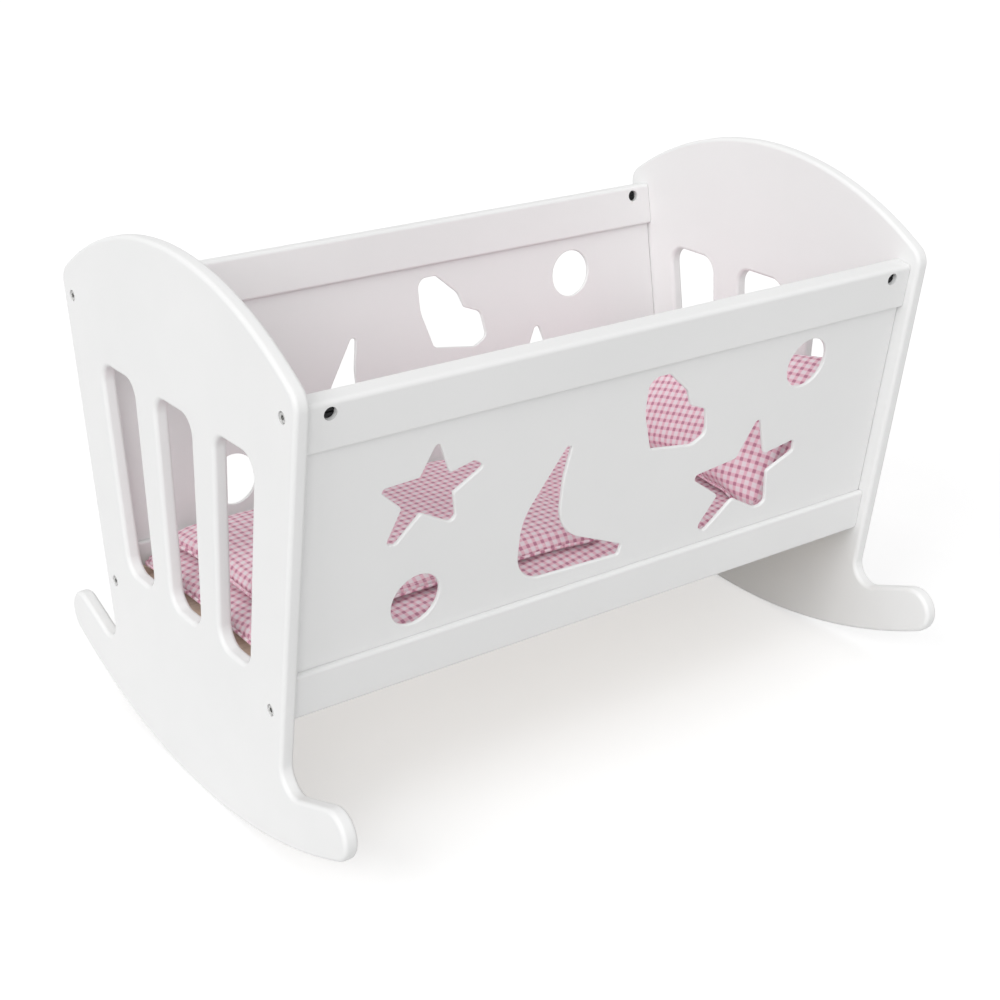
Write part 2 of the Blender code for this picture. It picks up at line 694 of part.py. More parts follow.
def add_battens(wood, steel):
    """The two battens with their screws. The front batten is the back one, turned round."""
    batten = batten_mesh()
    screw = screw_mesh()
    for name, side in SIDES.items():
        add_object(f"batten_{name}", batten, wood, rotation=(0, 0, 0 if side > 0 else pi))
        for number, (location, rotation) in enumerate(screw_places(side), 1):
            add_object(f"batten_screw_{name}_{number}", screw, steel, location=location, rotation=rotation)


def add_base_board(finish):
    """The plywood board that lies loose on the battens."""
    half_length = INNER_END - BOARD_CLEARANCE
    half_width = inner_half_width(BOARD_BOTTOM) - BOARD_CLEARANCE
    low = (-half_length, -half_width, BOARD_BOTTOM)
    add_object("base_board", box_mesh("base_board", low, (half_length, half_width, BOARD_TOP)), finish)


# Bedding


def spread(steps):
    """Numbers from -1 to 1, closer together towards both ends."""
    return [sin(pi * (index / steps - 1 / 2)) for index in range(steps + 1)]


def plan_place(along, across, size, draw, corner):
    """Where a cushion's grid point lies in plan, with drawn-in sides and rounded corners."""
    half_length = size[0] / 2
    half_width = size[1] / 2
    into = max(0, (abs(along) * half_length - half_length) / corner + 1)
    over = max(0, (abs(across) * half_width - half_width) / corner + 1)
    x = min(abs(along) * half_length, half_length - corner) + corner * into * sqrt(1 - over ** 2 / 2)
    y = min(abs(across) * half_width, half_width - corner) + corner * over * sqrt(1 - into ** 2 / 2)
    x -= draw * abs(along) * (1 - across ** 2)
    y -= draw * abs(across) * (1 - along ** 2)
    return (x if along > 0 else -x, y if across > 0 else -y)


def cushion_mesh(name, size, steps, top_powers, base_powers, seam_share, draw, corner, skew=0):
    """A closed cushion over its middle, its underside at height 0."""
    seam = size[2] * seam_share
    shape = bmesh.new()
    rim = {}
    for reach, powers in ((size[2] - seam, top_powers), (-seam, base_powers)):
        grid = []
        for row, along in enumerate(spread(steps[0])):
            line = []
            for column, across in enumerate(spread(steps[1])):
                fullness = (1 - abs(along) ** powers[0]) * (1 - abs(across) ** powers[1])
                x, y = plan_place(along, across, size, draw, corner)
                x += skew * across * ((1 + along) / 2) ** 2
                point = (x, y, seam + reach * sqrt(max(0, fullness)))
                at_rim = row in (0, steps[0]) or column in (0, steps[1])
                if at_rim and (row, column) in rim:
                    line.append(rim[row, column])
                    continue
                line.append(shape.verts.new(point))
                if at_rim:
                    rim[row, column] = line[-1]
            grid.append(line)
        for first, second in zip(grid, grid[1:]):
            for column in range(steps[1]):
                shape.faces.new((first[column], second[column], second[column + 1], first[column + 1]))
    return finished_mesh(name, shape)


def add_mattress(finish):
    """The mattress, on the board."""
    half_length = INNER_END - MATTRESS_END_CLEARANCE
    half_width = inner_half_width(MATTRESS_BOTTOM) - MATTRESS_SIDE_CLEARANCE
    mesh = cushion_mesh(
        "mattress", (2 * half_length, 2 * half_width, MATTRESS_THICK), MATTRESS_STEPS,
        MATTRESS_TOP_POWERS, FLAT_POWERS, MATTRESS_SEAM_SHARE, MATTRESS_DRAW, MATTRESS_CORNER)
    add_object("mattress", mesh, finish, location=(0, 0, MATTRESS_BOTTOM))


def add_quilt(finish):
    """The quilt, flat on the foot end of the mattress and close to the back side."""
    half_width = inner_half_width(MATTRESS_TOP)
    front = QUILT_FRONT_CLEARANCE - half_width
    back = half_width - QUILT_BACK_CLEARANCE
    mesh = cushion_mesh(
        "quilt", (QUILT_LENGTH, back - front, QUILT_THICK), QUILT_STEPS,
        QUILT_TOP_POWERS, FLAT_POWERS, QUILT_SEAM_SHARE, QUILT_DRAW, QUILT_CORNER, QUILT_SKEW)
    middle = QUILT_LENGTH / 2 + QUILT_END_CLEARANCE - INNER_END
    add_object("quilt", mesh, finish, location=(middle, (front + back) / 2, MATTRESS_TOP + FIT_GAP))


def add_pillow(finish):
    """The pillow, standing on the mattress and leaning on the head end panel."""
    mesh = cushion_mesh(
        "pillow", (PILLOW_LENGTH, PILLOW_WIDTH, PILLOW_THICK), PILLOW_STEPS,
        PILLOW_POWERS, PILLOW_POWERS, PILLOW_SEAM_SHARE, PILLOW_DRAW, PILLOW_CORNER, PILLOW_SKEW)
    lean = Matrix.Rotation(-PILLOW_LEAN, 4, "Y")
    points = [lean @ vertex.co for vertex in mesh.vertices]
    across = INNER_END - FIT_GAP - max(point.x for point in points)
    height = MATTRESS_TOP + FIT_GAP - min(point.z for point in points)
    place = (across, -PILLOW_SHIFT, height)
    add_object("pillow", mesh, finish, location=place, rotation=(0, -PILLOW_LEAN, 0))


def main():
    """Build the cradle."""
    clear_scene()
    paint = material("white_paint", (0.84, 0.84, 0.83), 0.45, 0.0)
    steel = material("zinc_steel", (0.60, 0.60, 0.59), 0.35, 1.0)
    pine = material("pine", (0.66, 0.48, 0.29), 0.60, 0.0)
    plywood = material("plywood", (0.72, 0.56, 0.38), 0.62, 0.0)
    cotton = material("pink_cotton", (0.85, 0.40, 0.52), 0.90, 0.0)

    add_end_panels(paint)
    bolt = bolt_mesh()
    nut = nut_mesh()
    panel = panel_mesh()
    for name, side in SIDES.items():
        frame = add_side(name, side, panel, paint)
        add_fasteners(name, frame, steel, bolt, nut)
    add_battens(pine, steel)
    add_base_board(plywood)
    add_mattress(cotton)
    add_quilt(cotton)
    add_pillow(cotton)


main()
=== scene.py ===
"""Looks of a rocking doll cradle with gingham bedding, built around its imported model.

Metres, +Z up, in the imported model's frame. X runs along the cradle, -Y is the front, and the
floor is at Z = 0.
"""

from math import asin, atan, atan2, ceil, cos, pi, radians, sin, sqrt, tan, tanh

import bmesh
import bpy
from mathutils import Matrix, Vector, noise


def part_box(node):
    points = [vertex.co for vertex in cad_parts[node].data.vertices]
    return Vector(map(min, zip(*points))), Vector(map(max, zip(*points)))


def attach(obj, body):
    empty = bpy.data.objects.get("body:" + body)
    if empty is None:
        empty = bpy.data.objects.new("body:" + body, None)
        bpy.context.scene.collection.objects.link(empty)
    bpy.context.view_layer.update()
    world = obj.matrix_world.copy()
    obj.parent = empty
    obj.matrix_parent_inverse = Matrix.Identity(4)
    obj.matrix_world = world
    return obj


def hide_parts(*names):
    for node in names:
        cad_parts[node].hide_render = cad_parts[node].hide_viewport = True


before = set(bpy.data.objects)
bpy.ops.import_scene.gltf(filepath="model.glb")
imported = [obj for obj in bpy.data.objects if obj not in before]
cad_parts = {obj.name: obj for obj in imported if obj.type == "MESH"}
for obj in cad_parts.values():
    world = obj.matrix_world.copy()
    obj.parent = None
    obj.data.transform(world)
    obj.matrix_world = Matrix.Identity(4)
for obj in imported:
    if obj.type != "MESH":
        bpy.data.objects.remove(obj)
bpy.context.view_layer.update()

# Whole cradle
LENGTH = 0.500
BOTTOM_WIDTH = 0.2302  # over the sides, at their bottom edges
LEAN_SHARE = 0.16  # how far a side leans out, as a share of how far it rises
FIT_GAP = 0.0003  # between pieces that touch
OVERRUN = 0.002  # how far a cut runs past the face that it opens

# Sides
SIDE_THICK = 0.015  # of the rails
SIDE_HEIGHT = 0.2145  # along the slope, over both rails
SIDE_BOTTOM = 0.0979  # above the floor
SIDE_ROUND = 0.003
RAIL_HEIGHT = 0.032
RAIL_SLOT_DEPTH = 0.006
LIP_ROUND = 0.002  # of a rail's front edge, next to the panel
PANEL_THICK = 0.003
PANEL_DEPTH = 0.004  # behind the rails' front faces
PANEL_ROUND = 0.0009

# End panels
END_THICK = 0.010
END_ROUND = 0.003
END_PROUD = 0.0068  # beyond the sides
ARCH_RISE = 0.0589  # of the arch above the sides
ARCH_RADIUS = 0.265
SHOULDER_RADIUS = 0.014
ROCKER_RADIUS = 0.440
FOOT_RADIUS = 0.0165
FOOT_REACH = 0.175  # from the middle to the centre of the foot's round end
FOOT_SLOPE = radians(20)
NECK_RADIUS = 0.0135
SLOT_LIFT = 0.0256  # above the sides' bottom edges
SLOT_DROP = 0.0427  # below the sides' top edges
SLOT_RADIUS = 0.0125

# Edges of the middle slot and of a side slot, as shares of the end panel's half width there
SLOT_LOW_SHARES = (0.159, 0.359, 0.664)
SLOT_HIGH_SHARES = (0.169, 0.367, 0.697)

# Figures cut through the panels, their spans as shares of the height between the rails
STAR_A_SPAN_SHARE = 0.496
STAR_B_SPAN_SHARE = 0.637
MOON_SPAN_SHARE = 0.643
HEART_SPAN_SHARE = 0.395
OVAL_SPAN_SHARES = (0.244, 0.224)
OVAL_TILT = radians(50)

# Places of the figures' centres, as shares of a side's length and of the height between its rails
STAR_A_PLACE_SHARES = (-0.307, 0.682)
STAR_B_PLACE_SHARES = (0.237, 0.318)
MOON_PLACE_SHARES = (-0.070, 0.395)
HEART_PLACE_SHARES = (0.092, 0.741)
HIGH_OVAL_PLACE_SHARES = (0.329, 0.814)
LOW_OVAL_PLACE_SHARES = (-0.319, 0.175)

# Corners of the figures: across, up and radius, as shares of the figure's span
STAR_A_SHARES = (
    (0.02, 0.46, 0.03), (0.16, 0.12, 0.03), (0.40, 0.18, 0.07), (0.50, 0.10, 0.03),
    (0.21, -0.08, 0.03), (0.27, -0.39, 0.05), (-0.09, -0.19, 0.03), (-0.32, -0.43, 0.05),
    (-0.41, -0.40, 0.04), (-0.28, -0.09, 0.04), (-0.52, 0.13, 0.03), (-0.13, 0.15, 0.03),
)
STAR_B_SHARES = (
    (0.08, 0.45, 0.03), (0.19, 0.10, 0.03), (0.48, 0.15, 0.03), (0.49, 0.05, 0.03),
    (0.25, -0.06, 0.03), (0.29, -0.35, 0.05), (0.19, -0.35, 0.05), (-0.05, -0.21, 0.04),
    (-0.29, -0.42, 0.04), (-0.37, -0.37, 0.04), (-0.21, -0.14, 0.03), (-0.51, 0.08, 0.03),
    (-0.09, 0.13, 0.03),
)
MOON_SHARES = (
    (-0.09, 0.49, 0.02), (-0.13, 0.50, 0.02), (-0.44, 0.02, 0.45), (-0.44, -0.47, 0.23),
    (0.44, -0.50, 0.02), (0.46, -0.42, 0.03), (-0.13, -0.16, 0.44), (-0.13, 0.25, 0.31),
)
HEART_SHARES = (
    (-0.48, 0.50, 0.14), (-0.20, 0.50, 0.08), (0.10, 0.23, 0.14), (0.18, 0.03, 0.05),
    (0.42, -0.07, 0.10), (0.48, -0.40, 0.10), (0.29, -0.50, 0.14), (-0.33, -0.40, 0.07),
    (-0.48, 0.08, 0.51),
)

# Base board and battens
WOOD_EDGE = 0.0005  # how far their edges are broken

# Bolts and barrel nuts
BOLT_INSET = 0.0078  # from a side's top or bottom edge
BOLT_LENGTH = 0.030
BOLT_RADIUS = 0.002
BOLT_CHAMFER = 0.0005
HEAD_RADIUS = 0.0035
HEAD_HEIGHT = 0.004
HEAD_SUNK = 0.0005
HEAD_CLEARANCE = 0.0004
SOCKET_RADIUS = 0.0017
SOCKET_DEPTH = 0.002
NUT_INSET = 0.0162  # from a rail's end
NUT_RADIUS = 0.004
NUT_LENGTH = 0.010
NUT_SLOT_WIDTH = 0.0012
NUT_SLOT_DEPTH = 0.001

# Bedding
MATTRESS_THICK = 0.0138
MATTRESS_END_CLEARANCE = 0.004
MATTRESS_SIDE_CLEARANCE = 0.003
MATTRESS_DRAW = 0.0015  # of its sides between the corners
MATTRESS_CORNER = 0.012
QUILT_LENGTH = 0.262
QUILT_THICK = 0.0118
QUILT_DRAW = 0.003
QUILT_CORNER = 0.022
QUILT_SKEW = 0.004  # of its head edge, at the sides
QUILT_FRONT_CLEARANCE = 0.0251  # from the front side, on the mattress
QUILT_BACK_CLEARANCE = 0.0012
QUILT_END_CLEARANCE = 0.020  # from the foot end panel
PILLOW_LENGTH = 0.132
PILLOW_WIDTH = 0.194
PILLOW_THICK = 0.044
PILLOW_DRAW = 0.006
PILLOW_CORNER = 0.022
PILLOW_SKEW = -0.006  # of its top edge, at the sides
PILLOW_SHIFT = 0.010  # to the front
PILLOW_LEAN = radians(45)

# How squarely the bedding's faces turn down at the edges, along and across
MATTRESS_TOP_POWERS = (14, 8)
QUILT_TOP_POWERS = (9, 6)
PILLOW_POWERS = (2.6, 2.8)
FLAT_POWERS = (30, 20)

# Height of the side seams, as shares of the thickness
MATTRESS_SEAM_SHARE = 0.42
QUILT_SEAM_SHARE = 0.36
PILLOW_SEAM_SHARE = 0.5

# Mesh steps
ROCKER_STEPS = 48
ARCH_STEPS = 64
FOOT_STEPS = 28
CORNER_STEP = radians(7)  # the widest turn between two points of a rounded corner
ROUND_STEPS = 7
PANEL_ROUND_STEPS = 4
OVAL_STEPS = 72
FASTENER_STEPS = 36
CLOTH_STEP = 0.0042
SMOOTH_ANGLE = radians(40)

# Cloth
SHRUNK = 0.0022  # of a cushion before its cover is blown up
SLACK_SHARE = 0.035  # of extra cloth in a cover
RUFFLE = 0.0006
RUFFLE_SCALE = 55
PRESSURE = 4
CLOTH_MASS = 0.15
STRETCH_STIFFNESS = 12
SHEAR_STIFFNESS = 4
BENDING_STIFFNESS = 0.15
CLOTH_QUALITY = 6
LAST_FRAME = 20
PIPING_RADIUS = 0.0011

# Gingham
CHECK_PERIOD = 0.0061
THREAD_PERIOD = 0.00045
STITCH_INSET = 0.0045
STITCH_PERIOD = 0.0028
STITCH_WIDTH = 0.0005
SEAM_TURN = radians(45)  # of the checks
MATTRESS_TURN = radians(-10)
QUILT_TURN = radians(-1)
PILLOW_TURN = radians(-10)
CHECK_WANDER = 0.0012  # of the stripes off their straight lines

# Colours
PAINT_COLOUR = (0.84, 0.84, 0.84)
DULL_PAINT = (0.825, 0.827, 0.825)
BRIGHT_PAINT = (0.852, 0.852, 0.850)
PALE_PINE = (0.70, 0.50, 0.30)
DARK_PINE = (0.55, 0.34, 0.17)
PALE_PLYWOOD = (0.82, 0.71, 0.58)
DARK_PLYWOOD = (0.72, 0.58, 0.44)
STEEL_COLOUR = (0.62, 0.62, 0.61)
# Near-black for the barrel nuts: painted shade of their deep holes, darker than their zinc steel
NUT_PAINTED_SHADE_COLOUR = (0.035, 0.035, 0.037)
DIRT_SHARE = 0.55  # of the steel's brightness under dirt
COTTON_COLOUR = (0.8, 0.4, 0.5)
WHITE_CHECK = (0.97, 0.83, 0.88)
PINK_CHECK = (0.93, 0.58, 0.68)
ROSE_CHECK = (0.60, 0.24, 0.35)
STITCH_COLOUR = (0.95, 0.80, 0.85)
FADED_SHADE = (0.93, 0.92, 0.93)
PORE_SHADE = (0.72, 0.68, 0.62)
WHITE = (1, 1, 1)

# Roughness of the surfaces
PAINT_ROUGHNESS = 0.42
PAINT_ROUGHNESS_RANGE = (0.36, 0.50)
PINE_ROUGHNESS = 0.6
PLYWOOD_ROUGHNESS = 0.62
STEEL_ROUGHNESS = 0.34
DARK_STEEL_ROUGHNESS = 0.45
COTTON_ROUGHNESS = 0.85
DIRT_ROUGHNESS = 0.15  # more than the steel's own
CLEAN_ROUGHNESS = -0.06

# Relief of the surfaces
PAINT_GRAIN_HEIGHT = 0.00006
PAINT_WAVE_HEIGHT = 0.00012
TURNING_MARK_HEIGHT = 0.00003
PORE_HEIGHT = 0.00008
RING_HEIGHT = 0.0001
WEAVE_HEIGHT = 0.00006
CREASE_HEIGHT = 0.0004
PUCKER_HEIGHT = 0.0012
GROOVE_HEIGHT = 0.0004  # of the cloth beside the stitches
STITCH_HEIGHT = 0.0001

# How many waves of unevenness go into a metre
PAINT_CLOUDS = 7
PAINT_SHEEN_SPOTS = 40
PAINT_GRAIN = 420
PAINT_WAVES = 55
WOOD_RINGS = (3, 45, 45)  # along X, Y and Z
WOOD_PORES = (40, 900, 900)
WOOD_PLIES = 750
STEEL_DIRT = 900
STEEL_MARKS = (9000, 400, 400)
CLOTH_WANDER = 30
CLOTH_FADING = 18
CLOTH_CREASES = 140
CLOTH_PUCKERS = 260

# Camera
CAMERA_PLACE = (-0.6954, -0.9682, 0.6574)
CAMERA_TARGET = (0.03116, 0, 0.19493)
CAMERA_ROLL = radians(0.369)
CAMERA_LENS = 65.616
CAMERA_SHIFT = (-0.0393, -0.0789)

# Surroundings: each lamp with the direction it shines from, its strength and its spread
FLOOR_SIZE = 12
FLOOR_COLOUR = (0.64, 0.64, 0.64)
FLOOR_ROUGHNESS = 0.9
FLOOR_GLOW = 0.48  # of the floor that the camera sees
WORLD_STRENGTH = 0.59
LAMPS = {
    "key": ((-0.80, -0.20, 0.55), 1.00, radians(35)),
    "front": ((-0.50, -0.75, 0.43), 0.80, radians(30)),
    "top": ((0.00, -0.10, 1.00), 0.25, radians(60)),
}

# Ends and sides
ENDS = {"left": -1, "right": 1}
SIDES = {"front": -1, "back": 1}

# Sizes that follow from those above
SLOPE = atan(LEAN_SHARE)
SIDE_LENGTH = LENGTH - 2 * (END_THICK + FIT_GAP)
SIDE_TOP = SIDE_BOTTOM + SIDE_HEIGHT * cos(SLOPE)
OPEN_HEIGHT = SIDE_HEIGHT - 2 * RAIL_HEIGHT  # between the rails
HEIGHT = SIDE_TOP + ARCH_RISE
BOLT_HEIGHTS = {"low": BOLT_INSET, "high": SIDE_HEIGHT - BOLT_INSET}  # along the slope
BOLT_END = HEAD_SUNK + HEAD_HEIGHT + BOLT_LENGTH  # from an end panel's outer face
MATTRESS_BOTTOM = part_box("base_board")[1].z + FIT_GAP
MATTRESS_TOP = MATTRESS_BOTTOM + MATTRESS_THICK
INNER_END = LENGTH / 2 - END_THICK


def outer_half_width(height):
    """Half the width over the rails' outer faces, at a height above the floor."""
    return BOTTOM_WIDTH / 2 + LEAN_SHARE * (height - SIDE_BOTTOM)


def inner_half_width(height):
    """Half the width between the rails' inner faces, at a height above the floor."""
    return outer_half_width(height) - SIDE_THICK / cos(SLOPE)


def end_half_width(height):
    """Half the width of an end panel between its feet and its shoulders."""
    return outer_half_width(height) + END_PROUD


# Outlines, as lists of (across, up)


def arc(centre, radius, start, end, steps):
    """Points on an arc from one angle to the other, with both ends."""
    angles = [start + (end - start) * index / steps for index in range(steps + 1)]
    return [(centre[0] + radius * cos(angle), centre[1] + radius * sin(angle)) for angle in angles]


def round_corner(before, corner, after, radius):
    """Arc that rounds one corner of an outline, as far as half of its shorter side."""
    corner = Vector(corner)
    back = Vector(before) - corner
    ahead = Vector(after) - corner
    half = back.angle(ahead) / 2
    reach = min(radius / tan(half), back.length / 2, ahead.length / 2)
    radius = reach * tan(half)
    centre = corner + (back.normalized() + ahead.normalized()).normalized() * radius / sin(half)
    first = corner + back.normalized() * reach - centre
    last = corner + ahead.normalized() * reach - centre
    start = atan2(first.y, first.x)
    turn = (atan2(last.y, last.x) - start + pi) % (2 * pi) - pi
    return arc(centre, radius, start, start + turn, max(1, ceil(abs(turn) / CORNER_STEP)))


def rounded(corners):
    """Closed outline through corners, each given as across, up and radius."""
    points = []
    for index, (across, up, radius) in enumerate(corners):
        before = corners[index - 1][:2]
        after = corners[(index + 1) % len(corners)][:2]
        points += round_corner(before, (across, up), after, radius)
    return points


def anticlockwise(outline):
    """The outline, turned round if it runs clockwise."""
    following = outline[1:] + outline[:1]
    area = sum(here[0] * there[1] - there[0] * here[1] for here, there in zip(outline, following))
    return outline if area > 0 else outline[::-1]


def grown(outline, distance):
    """An anticlockwise outline, moved out by a distance at every point."""
    points = []
    for index, point in enumerate(outline):
        here = Vector(point)
        incoming = (here - Vector(outline[index - 1])).normalized()
        outgoing = (Vector(outline[(index + 1) % len(outline)]) - here).normalized()
        along = (incoming + outgoing).normalized()
        stretch = distance / along.dot(outgoing)
        points.append((here.x + along.y * stretch, here.y - along.x * stretch))
    return points


# Meshes


def add_object(name, mesh, finish=None, parent=None, location=(0, 0, 0), rotation=(0, 0, 0)):
    """Put a mesh in the scene, with its finish if it has none."""
    item = bpy.data.objects.new(name, mesh)
    bpy.context.scene.collection.objects.link(item)
    item.parent = parent
    item.location = location
    item.rotation_euler = rotation
    if finish and not mesh.materials:
        mesh.materials.append(finish)
    return item


def finished_mesh(name, shape):
    """Turn a bmesh into a mesh with its faces out and its round parts smooth."""
    bmesh.ops.recalc_face_normals(shape, faces=shape.faces)
    if len(shape.faces) > 1 and shape.calc_volume(signed=True) < 0:
        bmesh.ops.reverse_faces(shape, faces=shape.faces)
    mesh = bpy.data.meshes.new(name)
    shape.to_mesh(mesh)
    shape.free()
    mesh.shade_smooth()
    mesh.set_sharp_from_angle(angle=SMOOTH_ANGLE)
    return mesh


def join_loops(shape, loops):
    """Skin of faces between closed loops of vertices."""
    for low, high in zip(loops, loops[1:]):
        for index in range(len(low)):
            following = (index + 1) % len(low)
            shape.faces.new((low[index], low[following], high[following], high[index]))


def stacked_mesh(name, rings, levels, place):
    """Closed body through levels of (depth, growth), around an outline and its holes.

    The first ring is the outline. place gives the point for a depth and an outline's point.
    """
    shape = bmesh.new()
    ends = ([], [])
    for number, ring in enumerate(rings):
        loops = []
        for depth, growth in levels:
            points = grown(ring, -growth if number else growth)
            loops.append([shape.verts.new(place(depth, *point)) for point in points])
        join_loops(shape, loops)
        for end, loop in zip(ends, (loops[0], loops[-1])):
            for index, corner in enumerate(loop):
                end.append(shape.edges.get((corner, loop[index - 1])))
    for end in ends:
        bmesh.ops.triangle_fill(shape, use_beauty=True, edges=end)
    return finished_mesh(name, shape)


def turned_mesh(name, profile, steps, sides=0):
    """Body turned about X from a profile of (along, radius), closed by a flat at each end.

    With a number of sides, the first two rings are a socket with that many flats.
    """
    shape = bmesh.new()
    loops = []
    for number, (along, radius) in enumerate(profile):
        loop = []
        for index in range(steps):
            angle = 2 * pi * index / steps
            reach = radius
            if sides and number < 2:
                off_corner = (angle + pi / sides) % (2 * pi / sides) - pi / sides
                reach = radius * cos(pi / sides) / cos(pi / sides - abs(off_corner))
            loop.append(shape.verts.new((along, reach * cos(angle), reach * sin(angle))))
        loops.append(loop)
    join_loops(shape, loops)
    shape.faces.new(loops[0])
    shape.faces.new(loops[-1])
    return finished_mesh(name, shape)


def box_mesh(name, low, high):
    """A plain box between two corners."""
    shape = bmesh.new()
    bmesh.ops.create_cube(shape, size=1)
    low = Vector(low)
    high = Vector(high)
    fitting = Matrix.Translation((low + high) / 2) @ Matrix.Diagonal((*(high - low), 1))
    bmesh.ops.transform(shape, verts=shape.verts, matrix=fitting)
    return finished_mesh(name, shape)


def evaluated_mesh(item):
    """The mesh of an object with its modifiers applied."""
    bpy.context.view_layer.update()
    return bpy.data.meshes.new_from_object(item.evaluated_get(bpy.context.evaluated_depsgraph_get()))


def cut_mesh(blank, cutters):
    """The mesh that is left when cutters are taken from a blank. All of them are used up."""
    for cutter in cutters:
        cut = blank.modifiers.new(cutter.name, "BOOLEAN")
        cut.operation = "DIFFERENCE"
        cut.solver = "EXACT"
        cut.object = cutter
    mesh = evaluated_mesh(blank)
    mesh.name = blank.name
    mesh.materials.clear()
    for item in [blank, *cutters]:
        bpy.data.objects.remove(item, do_unlink=True)
    mesh.shade_smooth()
    mesh.set_sharp_from_angle(angle=SMOOTH_ANGLE)
    return mesh


def even_shading(item):
    """Let the large flat faces set the shading, so that they look flat up to their round edges."""
    shading = item.modifiers.new("even_shading", "WEIGHTED_NORMAL")
    shading.keep_sharp = True


def ride_for(item, body, slot, *nodes):
    """Let a piece ride on a body in place of its nodes. The slot, a finish's name, is not used."""
    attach(item, body)
    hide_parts(*nodes)


# Finishes


class Nodes:
    """The nodes of a material or a world, around its shader."""

    def __init__(self, owner, shader):
        owner.use_nodes = True
        self.tree = owner.node_tree
        self.shader = self.tree.nodes[shader]

    def put(self, socket, value):
        """Link an output to a socket, or set the socket's own value."""
        if isinstance(value, bpy.types.NodeSocket):
            self.tree.links.new(value, socket)
        else:
            socket.default_value = value

    def set(self, name, value):
        """Set or link one of the shader's sockets."""
        self.put(self.shader.inputs[name], value)

    def node(self, kind, values=None, **settings):
        """A new node with its settings and the values of its sockets."""
        made = self.tree.nodes.new(kind)
        for name, value in settings.items():
            setattr(made, name, value)
        for socket, value in (values or {}).items():
            self.put(made.inputs[socket], value)
        return made

    def math(self, operation, *values):
        """Result of a sum on outputs or numbers."""
        return self.node("ShaderNodeMath", dict(enumerate(values)), operation=operation).outputs[0]

    def seen(self):
        """Whether the camera sees the surface, itself or in gloss or glass."""
        path = self.node("ShaderNodeLightPath").outputs
        in_gloss = self.math("MAXIMUM", path["Is Camera Ray"], path["Is Glossy Ray"])
        return self.math("MAXIMUM", in_gloss, path["Is Transmission Ray"])

    def place(self):
        """Where a point lies on its object."""
        return self.node("ShaderNodeTexCoord").outputs["Object"]

    def parts(self, vector):
        """Outputs for the X, Y and Z of a vector."""
        return self.node("ShaderNodeSeparateXYZ", {0: vector}).outputs

    def stretched(self, place, scales, turn=0):
        """A place with its three directions scaled, after a turn about Z."""
        values = {"Vector": place, "Scale": scales, "Rotation": (0, 0, turn)}
        return self.node("ShaderNodeMapping", values).outputs[0]

    def noise(self, place, scale, detail=2.0, distortion=0.0):
        """Soft noise at a scale."""
        values = {"Vector": place, "Scale": scale, "Detail": detail, "Distortion": distortion}
        return self.node("ShaderNodeTexNoise", values).outputs[0]

    def wave(self, value, period):
        """Sine wave over a length."""
        return self.math("SINE", self.math("MULTIPLY", value, 2 * pi / period))

    def ranged(self, value, low, high, new_low, new_high):
        """A value moved from one range to another and kept inside it."""
        values = {0: value, 1: low, 2: high, 3: new_low, 4: new_high}
        return self.node("ShaderNodeMapRange", values).outputs[0]

    def ramp(self, value, *stops):
        """Colour for a value, from stops of (position, colour)."""
        made = self.node("ShaderNodeValToRGB", {0: value})
        while len(made.color_ramp.elements) < len(stops):
            made.color_ramp.elements.new(1)
        for element, (position, colour) in zip(made.color_ramp.elements, stops):
            element.position = position
            element.color = (*colour, 1)
        return made.outputs[0]

    def mixed(self, share, first, second, blend="MIX"):
        """Two colours mixed by a share."""
        made = self.node("ShaderNodeMix", data_type="RGBA", blend_type=blend)
        for name, value in (("Factor_Float", share), ("A_Color", first), ("B_Color", second)):
            socket = next(item for item in made.inputs if item.identifier == name)
            self.put(socket, value)
        return next(item for item in made.outputs if item.identifier == "Result_Color")

    def bump(self, *heights):
        """Raise the surface by heights, each given as (value, distance)."""
        normal = None
        for value, distance in heights:
            values = {"Height": value, "Distance": distance, "Strength": 1.0}
            if normal:
                values["Normal"] = normal
            normal = self.node("ShaderNodeBump", values).outputs[0]
        self.set("Normal", normal)


class Finish(Nodes):
    """A material in the making."""

    def __init__(self, name, colour, roughness, metallic=0.0):
        self.material = bpy.data.materials.new(name)
        super().__init__(self.material, "Principled BSDF")
        self.set("Base Color", (*colour, 1))
        self.set("Roughness", roughness)
        self.set("Metallic", metallic)


def paint_finish():
    """Satin white paint on fibreboard, a little uneven."""
    finish = Finish("white_paint", PAINT_COLOUR, PAINT_ROUGHNESS)
    place = finish.place()
    clouds = finish.noise(place, PAINT_CLOUDS, 3)
    spots = finish.noise(place, PAINT_SHEEN_SPOTS, 4)
    grain = finish.noise(place, PAINT_GRAIN, 2)
    waves = finish.noise(place, PAINT_WAVES, 2)
    finish.set("Base Color", finish.ramp(clouds, (0.3, DULL_PAINT), (0.7, BRIGHT_PAINT)))
    finish.set("Roughness", finish.ranged(spots, 0.3, 0.7, *PAINT_ROUGHNESS_RANGE))
    finish.set("Specular IOR Level", 0.45)
    finish.bump((grain, PAINT_GRAIN_HEIGHT), (waves, PAINT_WAVE_HEIGHT))
    return finish.material


def steel_finish(name, colour, roughness):
    """Plated steel with turning marks and a little dirt."""
    finish = Finish(name, colour, roughness, 1.0)
    place = finish.place()
    dirt = finish.noise(place, STEEL_DIRT, 4)
    dark = tuple(share * DIRT_SHARE for share in colour)
    duller = roughness + DIRT_ROUGHNESS
    shinier = roughness + CLEAN_ROUGHNESS
    finish.set("Base Color", finish.ramp(dirt, (0.25, dark), (0.6, colour)))
    finish.set("Roughness", finish.ranged(dirt, 0.2, 0.8, duller, shinier))
    marks = finish.noise(finish.stretched(place, STEEL_MARKS), 1, 2)
    finish.bump((marks, TURNING_MARK_HEIGHT))
    return finish.material


